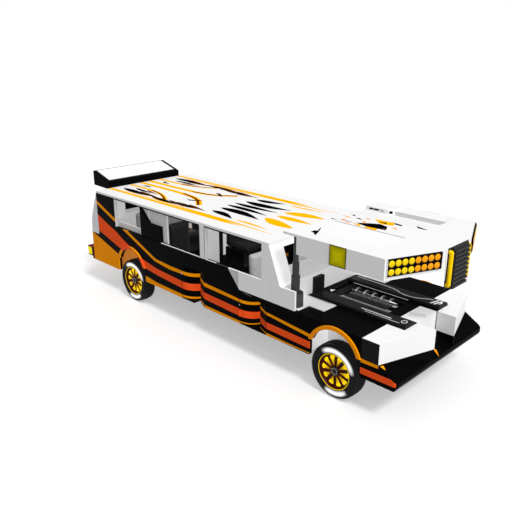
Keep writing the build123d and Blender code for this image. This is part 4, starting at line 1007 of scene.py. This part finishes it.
def makeBonnetDetail():
    top, face = bonnet["top"], bonnet["humpFace"]
    (back, front), y = bonnet["seam"], -bonnet["seamY"]
    dark = [barShape((back, y - 0.006, top + 0.0001), (front, y + 0.001, top + 0.0011)),
            barShape((1.684, -0.120, top + 0.0001), (1.882, -0.108, top + 0.0011))]
    dark += [slabShape(outline, 0.0006, 0.0016, channelPoint) for outline in (
        [(1.915, -0.902), (1.832, -0.832), (1.780, -0.822), (1.778, -0.758), (1.786, -0.740), (1.845, -0.740)],
        [(1.680, -0.510), (1.690, -0.510), (1.735, -0.600), (1.775, -0.731), (1.742, -0.731), (1.715, -0.620)],
        [(2.53, 0.375), (2.62, 0.262), (2.76, 0.270), (2.655, 0.325)])]
    addPart("bonnetSeams", joinShapes(dark), "roofBlack", "nose")
    crease = slabShape([(2.705, -0.96), (2.709, -0.96), (2.735, -0.76), (2.731, -0.76)], top + 0.0001,
                       top + 0.0008, levelPoint)
    addPart("bonnetCreases", bothSides(crease), "lightGrey", "nose")
    vents = []
    for x, length in ((1.590, 0.070), (1.668, 0.085)):
        outline = [(x, 1.958), (x + length, 1.958), (x + length + 0.008, 1.982), (x + 0.008, 1.982)]
        vents.append(slabShape(outline, face - 0.0015, face + 0.0005, sidePoint))
    middleX, middleY, reach = bonnet["humpRound"]
    turns = [math.radians(angle) for angle in (22, 30, 38, 46)]
    rim = [(middleX + r * math.sin(a), middleY - r * math.cos(a))
           for r, angles in ((reach, turns), (reach + 0.0015, turns[::-1])) for a in angles]
    vents.append(slabShape(rim, 1.948, 1.984, levelPoint))
    addPart("bonnetVents", joinShapes(vents), "plasticBlack", "nose")
    mark = slabShape([(1.775, 1.95), (1.84, 1.95), (1.84, 1.984), (1.775, 1.984)], face - 0.0015, face + 0.0005,
                     sidePoint)
    addPart("humpMark", mark, "lightGrey", "nose")
    for word, (finishName, slotName, layer, outlines) in shards.items():
        shape = joinShapes([vinyl(outline, layer, top) for outline in outlines])
        addPart(f"bonnet{word}Shards", shape, finishName, "nose")


makeBonnetDetail()

# engine bay: ribbed cover, pipes and pale lines on the two bars
bay = {"floor": 0.9004, "coverTop": 0.925, "deck": 0.970, "barTop": 1.010, "lineHeight": 0.0008, "pipes": 5,
       "pipeStep": 0.135}


def makeEngineBay():
    coverTop = bay["coverTop"]
    block = barShape((1.74, -0.235, bay["floor"]), (2.54, 0.235, coverTop))
    cover = makePiece("engineCover", block, "plasticBlack")
    attach(roundEdges(cover, 0.008), "body")
    addRow("engineRibs", barShape((0.0, -0.0035, 0.0), (0.66, 0.0035, 0.007)), "darkGrey",
           9, (0.0, 0.024, 0.0), (1.81, -0.096, coverTop))
    addRow("engineDashes", barShape((0.0, 0.0, 0.0), (0.017, 0.009, 0.0012)), "whitePaint",
           33, (0.0235, 0.0, 0.0), (1.745, -0.226, coverTop + 0.0002), 6, (0.008, 0.026, 0.0))
    addRow("engineMarks", barShape((0.0, 0.0, 0.0), (0.020, 0.022, 0.0012)), "whitePaint",
           27, (0.027, 0.0, 0.0), (1.80, 0.042, coverTop + 0.0003), 2, (0.010, 0.030, 0.0))
    pipes = []
    for i in range(bay["pipes"]):
        x = 1.84 + i * bay["pipeStep"]
        path = [(x, 0.105, 0.934), (x, 0.145, 0.957), (x, 0.19, 0.957), (x, 0.223, 0.944), (x, 0.23, 0.915)]
        pipes.append(tubeShape(smoothPath(path, 2), 0.017, 12))
    pipes.append(tubeShape([(1.78, 0.12, 0.940), (2.50, 0.12, 0.940)], 0.015, 12))
    addPart("intakePipes", joinShapes(pipes), "steel", smooth=True)
    top, deck = bay["barTop"] + 0.0001, bay["deck"] + 0.0001

    def onBar(outline):
        return slabShape(outline, top, top + bay["lineHeight"], levelPoint)

    bend = [(1.64, 0.44), (2.28, 0.42), (2.42, 0.325), (2.62, 0.325), (2.80, 0.44), (2.84, 0.44)]
    lines = [onBar(ribbonOutline(bend, 0.011)),
             barShape((2.32, -0.438, top), (2.76, -0.418, top + bay["lineHeight"])),
             barShape((2.40, -0.478, top), (2.90, -0.470, top + bay["lineHeight"])),
             barShape((1.68, 0.2785, deck), (2.56, 0.2885, deck + 0.001)),
             slabShape([(1.60, -0.150), (1.66, -0.205), (1.66, -0.105)], deck, deck + 0.001, levelPoint)]
    addPart("barLines", joinShapes(lines), "whitePaint")
    marks = [onBar([(x, 0.325), (x + 0.026, 0.325), (x + 0.066, 0.475), (x + 0.040, 0.475)])
             for x in (2.845, 2.895)]
    marks.append(onBar([(2.952, 0.35), (2.982, 0.41), (2.958, 0.46)]))
    ring = [(math.cos(math.radians(a)), math.sin(math.radians(a))) for a in range(0, 360, 60)]
    for start, end in zip(ring, ring[1:] + ring[:1]):
        marks.append(onBar([(2.925 + r * x, -0.40 + 1.25 * r * y)
                            for r, (x, y) in ((0.040, start), (0.040, end), (0.030, end), (0.030, start))]))
    addPart("barMarks", joinShapes(marks), "whitePaint")
    addRow("blockDots", barShape((0.0, 0.0, 0.0), (0.011, 0.009, 0.0008)), "darkGrey",
           9, (0.020, 0.009, 0.0), (2.79, -0.04, 0.9701), 3, (0.012, -0.034, 0.0))
    for name, y in (("plateDashesInner", -0.541), ("plateDashesOuter", -0.560)):
        tile = bothSides(barShape((0.0, y, 0.0), (0.020, y + 0.007, 0.0008)))
        addRow(name, tile, "roofBlack", 12, (0.033, 0.0, 0.0), (1.53, 0.0, 0.9781))


makeEngineBay()
print("engine bay made")

# small parts on the outside: seams, waist beads, tips, wing skin, tailgate fittings
outside = {"skin": 1.040, "waist": 1.230, "bead": 0.008, "doorHinge": 0.725, "seamHalf": 0.0042,
           "hoodBack": (3.010, 0.7101), "hoodFront": (3.365, 0.5591), "wingBack": (-3.352, 2.0052),
           "wingFront": (-2.962, 1.8968), "wingHalf": 0.700}


def sideTiles(name, size, count, step, place, finishName):
    # small flat tiles in a row on both side skins
    skin = outside["skin"]
    tile = bothSides(barShape((0.0, -skin - 0.0010, 0.0), (size[0], -skin + 0.0010, size[1])))
    addRow(name, tile, finishName, count, step, place)


def hoodPoint(pair, lift):
    # a point on the bumper's sloping top
    (backX, backZ), (frontX, frontZ) = outside["hoodBack"], outside["hoodFront"]
    share = (min(max(pair[0], backX), frontX) - backX) / (frontX - backX)
    return (pair[0], pair[1], backZ + (frontZ - backZ) * share + lift)


def makeOutside():
    skin, waist, half, hinge = outside["skin"], outside["waist"], outside["seamHalf"], outside["doorHinge"]
    low, high = waist + 0.0002, waist + outside["bead"]
    seams = [barShape((x - half, -skin - 0.0012, 0.459), (x + half, -skin + 0.002, top))
             for x, top in ((-0.556, 0.9), (1.236, 0.969))]
    addPart("sideSeams", bothSides(joinShapes(seams)), "blackPaint")
    beads = [barShape((-1.05, -skin + 0.001, low), (-0.102, -skin + 0.016, high)),
             barShape((-0.5595, -skin - 0.0016, 0.845), (-0.5525, -skin + 0.001, 0.888))]
    addPart("waistBeads", bothSides(joinShapes(beads)), "whitePaint")
    # the door seam leaves out the hinge pins, which stay with the fender
    onDoor = (("Bead", 0.020, 0.25, 0.014, -0.001, ((low, high),), "whitePaint", "white_paint"),
              ("Edge", 0.2503, 0.480, 0.014, -0.001, ((low, high),), "darkGrey", "dark_grey_paint"),
              ("Seam", hinge - 0.0090, hinge - 0.0005, 0.001, 0.0010, ((0.4875, 0.554), (0.666, 0.834)),
               "blackPaint", "black_paint"),
              ("Dot", hinge - 0.0090, hinge - 0.0005, 0.001, 0.0016, ((0.733, 0.751),), "whitePaint",
               "white_paint"))
    for side, sign in (("right", -1), ("left", 1)):
        for word, start, end, depth, reach, heights, finishName, slotName in onDoor:
            near, far = sorted((sign * (skin + reach), sign * (skin - depth)))
            shape = joinShapes([barShape((start, near, foot), (end, far, top)) for foot, top in heights])
            addPart(f"{side}Door{word}", shape, finishName, f"{side}_door")
    sideTiles("railDashes", (0.020, 0.0035), 7, (0.034, 0.0, -0.004), (0.735, 0.0, 0.962), "lightGrey")
    sideTiles("quarterSeamUp", (0.005, 0.022), 11, (0.0, 0.0, 0.038), (-2.915, 0.0, 0.470), "seamOrange")
    sideTiles("quarterSeamLevel", (0.022, 0.004), 12, (0.038, 0.0, 0.0), (-2.880, 0.0, 0.700), "seamOrange")
    sideTiles("tailSeam", (0.19, 0.004), 1, (0.0, 0.0, 0.0), (-3.083, 0.0, 1.234), "lightGrey")
    # tip marks under the centre blocks and on the bumper's corner
    tips = [slabShape(points, 0.0004, 0.0016, hoodPoint) for points in
            ([(3.170, -0.105), (3.215, -0.085), (3.300, -0.160), (3.235, -0.135)],
             [(3.03, -1.035), (3.045, -0.985), (3.10, -1.02)])]
    addPart("bumperTips", joinShapes(tips), "orangePaint")
    # white skin over the wing's upper face; the grey steps into its black border are painted shade of the rounded
    # lip
    (backX, backZ), (frontX, frontZ) = outside["wingBack"], outside["wingFront"]
    for name, grow, finishName, lift in (("wingShadeStep", 0.028, "darkGrey", 0.0004),
                                         ("wingShadeStepInner", 0.014, "lightGrey", 0.0008),
                                         ("wingSkin", 0.0, "whitePaint", 0.0012)):
        frontEdge = frontZ + grow * (frontZ - backZ) / (frontX - backX)
        outline = [(backX, backZ + 0.0002), (frontX + grow, frontEdge + 0.0002),
                   (frontX + grow, frontEdge + lift + 0.0005), (backX, backZ + lift + 0.0005)]
        half = outside["wingHalf"] + grow
        addPart(name, slabShape(outline, -half, half, sidePoint), finishName)
    # tailgate handle and blank plate panel
    path = [(-3.1205, -0.10, 0.90), (-3.145, -0.10, 0.90), (-3.145, 0.10, 0.90), (-3.1205, 0.10, 0.90)]
    addPart("tailgateHandle", tubeShape(smoothPath(path, 2), 0.008, 10), "steel", "rear_gate", True)
    plate = makePiece("plateHolder", barShape((-3.1265, -0.26, 0.70), (-3.1202, 0.26, 0.82)), "plasticBlack")
    attach(roundEdges(plate, 0.003), "rear_gate")


makeOutside()

# folded boots round the feet of the two posts
boots = {"x": 1.619, "y": 0.900, "low": 0.9712, "high": 1.1605, "folds": 8, "crest": 0.1070, "valley": 0.0985,
         "bore": 0.0600}


def makeBoots():
    low, high, folds = boots["low"], boots["high"], boots["folds"]
    step = (high - low) / folds
    profile = [(low, boots["bore"])]
    for i in range(folds):
        base = low + step * i
        profile += [(base, boots["valley"]), (base + step * 0.4, boots["crest"]),
                    (base + step * 0.6, boots["crest"])]
    profile += [(high, boots["valley"]), (high, boots["bore"])]
    verts, faces = spunShape(profile, 32, closed=True)
    verts = [(boots["x"] + side, -boots["y"] - up, along) for side, along, up in verts]
    addPart("postBoots", bothSides((verts, faces)), "bootRubber")


makeBoots()

# seats: crowned pads from a short cloth run
seats = {
    "rows": [(0.500, -0.48, 0.44, 1.370, "seatPale"), (0.500, 0.48, 0.44, 1.370, "seatPale"),
             (-1.190, -0.62, 0.44, 1.500, "seatCover"), (-1.190, 0.62, 0.44, 1.500, "seatCover"),
             (-2.510, 0.0, 1.12, 1.365, "seatGrey")],
    "depth": 0.46, "backThickness": 0.12, "padLow": 0.8003, "padHeight": 0.1097, "swell": 0.013,
    "pressure": 3.2, "voxel": 0.014, "frames": 14, "cushionCorner": 0.03, "backCorner": 0.045,
}


def softBox(low, high, inset, corner):
    # a box with rounded edges, ready to swell
    low = Vector(low) + Vector((inset,) * 3)
    high = Vector(high) - Vector((inset,) * 3)
    mesh = bmesh.new()
    bmesh.ops.create_cube(mesh, size=1.0)
    for vertex in mesh.verts:
        vertex.co = Vector(((low[i] + high[i]) / 2 + vertex.co[i] * (high[i] - low[i]) for i in range(3)))
    bmesh.ops.bevel(mesh, geom=list(mesh.edges), offset=corner, segments=4, profile=0.5, affect="EDGES")
    made = bpy.data.meshes.new("pad")
    mesh.to_mesh(made)
    mesh.free()
    return made


def swellPad(piece):
    rest = [v.co.copy() for v in piece.data.vertices]
    cloth = piece.modifiers.new("swelling", "CLOTH")
    cloth.settings.use_pressure = True
    cloth.settings.uniform_pressure_force = seats["pressure"]
    cloth.settings.effector_weights.gravity = 0
    cloth.settings.quality = 4
    cloth.point_cache.frame_start = 1
    cloth.point_cache.frame_end = seats["frames"]
    for frameNumber in range(1, seats["frames"] + 1):
        bpy.context.scene.frame_set(frameNumber)
    bakeModifiers(piece)
    bpy.context.scene.frame_set(1)
    for vertex, start in zip(piece.data.vertices, rest):
        shift = vertex.co - start
        if shift.length > seats["swell"]:
            vertex.co = start + shift.normalized() * seats["swell"]


def makePad(name, low, high, corner):
    piece = addObject(name, softBox(low, high, seats["swell"], corner))
    remesh = piece.modifiers.new("evenMesh", "REMESH")
    remesh.mode = "VOXEL"
    remesh.voxel_size = seats["voxel"]
    bakeModifiers(piece)
    swellPad(piece)
    for vertex in piece.data.vertices:
        for axis in range(3):
            vertex.co[axis] = min(max(vertex.co[axis], low[axis] + 0.0005), high[axis] - 0.0005)
    softer = piece.modifiers.new("softer", "SUBSURF")
    softer.levels = softer.render_levels = 1
    bakeModifiers(piece)
    piece.data.shade_smooth()
    return piece


def makeSeats():
    made = {}
    thick, padLow = seats["backThickness"], seats["padLow"]
    for number, (backX, middleY, width, top, cover) in enumerate(seats["rows"]):
        frontX = backX + thick + 0.0003
        right, left = middleY - width / 2, middleY + width / 2
        for kind, low, high, finishName, node in (
                ("Cushion", (frontX, right, padLow), (frontX + seats["depth"], left, padLow + seats["padHeight"]),
                 "seatCover", "seat_cushions"),
                ("Back", (backX, right, padLow), (backX + thick, left, top), cover, "seat_backs")):
            size = tuple(round(h - l, 3) for l, h in zip(low, high))
            name = f"seat{number + 1}{kind}"
            if size in made:
                pattern, patternLow = made[size]
                piece = addObject(name, pattern.data.copy())
                piece.data.transform(Matrix.Translation(Vector(low) - patternLow))
            else:
                piece = makePad(name, low, high, seats[kind.lower() + "Corner"])
                made[size] = (piece, Vector(low))
            piece.data.materials.clear()
            piece.data.materials.append(finishes[finishName])
            attach(piece, "body", (node,))


makeSeats()
print("seats made")

# dashboard dials and vents
dash = {"back": 0.997, "dialY": (-0.60, -0.44), "dialZ": 1.115, "dialRadius": 0.062,
        "ventY": (-0.27, -0.10, 0.12, 0.50)}


def makeDash():
    face, r = dash["back"] - 0.0002, dash["dialRadius"]
    profile = [(0.0, r), (0.012, r), (0.014, r - 0.004), (0.010, r - 0.008), (0.002, r - 0.010), (0.002, 0.0004)]
    verts, faces = spunShape(profile, 28)
    rings = [([(face - offset, y + across, dash["dialZ"] + up) for across, offset, up in verts], faces)
             for y in dash["dialY"]]
    addPart("dashDials", joinShapes(rings), "lightGrey", smooth=True)
    vanes = joinShapes([barShape((-0.004, y, 0.0), (0.0, y + 0.13, 0.005)) for y in dash["ventY"]])
    addRow("dashVents", vanes, "darkGrey", 1, (0.0, 0.0, 0.0), (face, 0.0, 1.09), 6,
           (0.0, 0.0, 0.012))


makeDash()

# floor, light and camera
view = {"place": (6.295, -6.288, 4.140), "tilt": 19.3, "heading": 45.0, "lens": 42.26}
# only the soft sun casts shadows; the fills take its direction and the front
light = {"suns": (("softSun", (0.55, -0.15, 0.82), 1.25, 14.0), ("openFill", (0.55, -0.15, 0.82), 1.62, 14.0),
                  ("frontFill", (1.0, 0.05, 0.10), 0.56, 24.0)),
         "sky": 0.40, "floorBounce": 0.32, "floorSeen": 0.93, "floorHalf": 60.0}


def makeFloor():
    half = light["floorHalf"]
    floor = makePiece("studioFloor", barShape((-half, -half, -0.02), (half, half, -0.0005)), "whitePaint")
    material, tree, shader, _ = newMaterial("paleFloor", Roughness=0.95, Specular_IOR_Level=0.0)
    path = addNode(tree, "ShaderNodeLightPath").outputs
    seen = mathNode(tree, "MAXIMUM", path["Is Camera Ray"], path["Is Glossy Ray"])
    seen = mathNode(tree, "MAXIMUM", seen, path["Is Transmission Ray"])
    tone = mixColor(tree, seen, grey(light["floorBounce"]), grey(light["floorSeen"]))
    tree.links.new(tone, shader["Base Color"])
    floor.data.materials.clear()
    floor.data.materials.append(material)


def makeLight():
    for name, origin, strength, softness in light["suns"]:
        sun = bpy.data.lights.new(name, "SUN")
        sun.energy = strength
        sun.use_shadow = name == "softSun"
        sun.angle = math.radians(softness)
        addObject(name, sun).rotation_euler = Vector(origin).to_track_quat("Z", "Y").to_euler()
    world = bpy.data.worlds.new("studioSky")
    world.use_nodes = True
    bpy.context.scene.world = world
    tree = world.node_tree
    background = tree.nodes["Background"]
    path = addNode(tree, "ShaderNodeLightPath").outputs
    seen = mathNode(tree, "MAXIMUM", path["Is Camera Ray"], path["Is Transmission Ray"])
    tree.links.new(mixColor(tree, seen, grey(light["sky"]), grey(1.0)), background.inputs["Color"])
    background.inputs["Strength"].default_value = 1.0


def makeCamera():
    data = bpy.data.cameras.new("viewCamera")
    data.lens = view["lens"]
    data.sensor_width = 36.0
    data.sensor_fit = "HORIZONTAL"
    data.clip_end = 400.0
    camera = addObject("viewCamera", data)
    camera.location = view["place"]
    camera.rotation_euler = (math.radians(90 - view["tilt"]), 0.0, math.radians(view["heading"]))
    bpy.context.scene.camera = camera


makeFloor()
makeLight()
makeCamera()
bpy.context.scene.view_settings.view_transform = "Standard"
print("stage set")

bpy.context.view_layer.update()
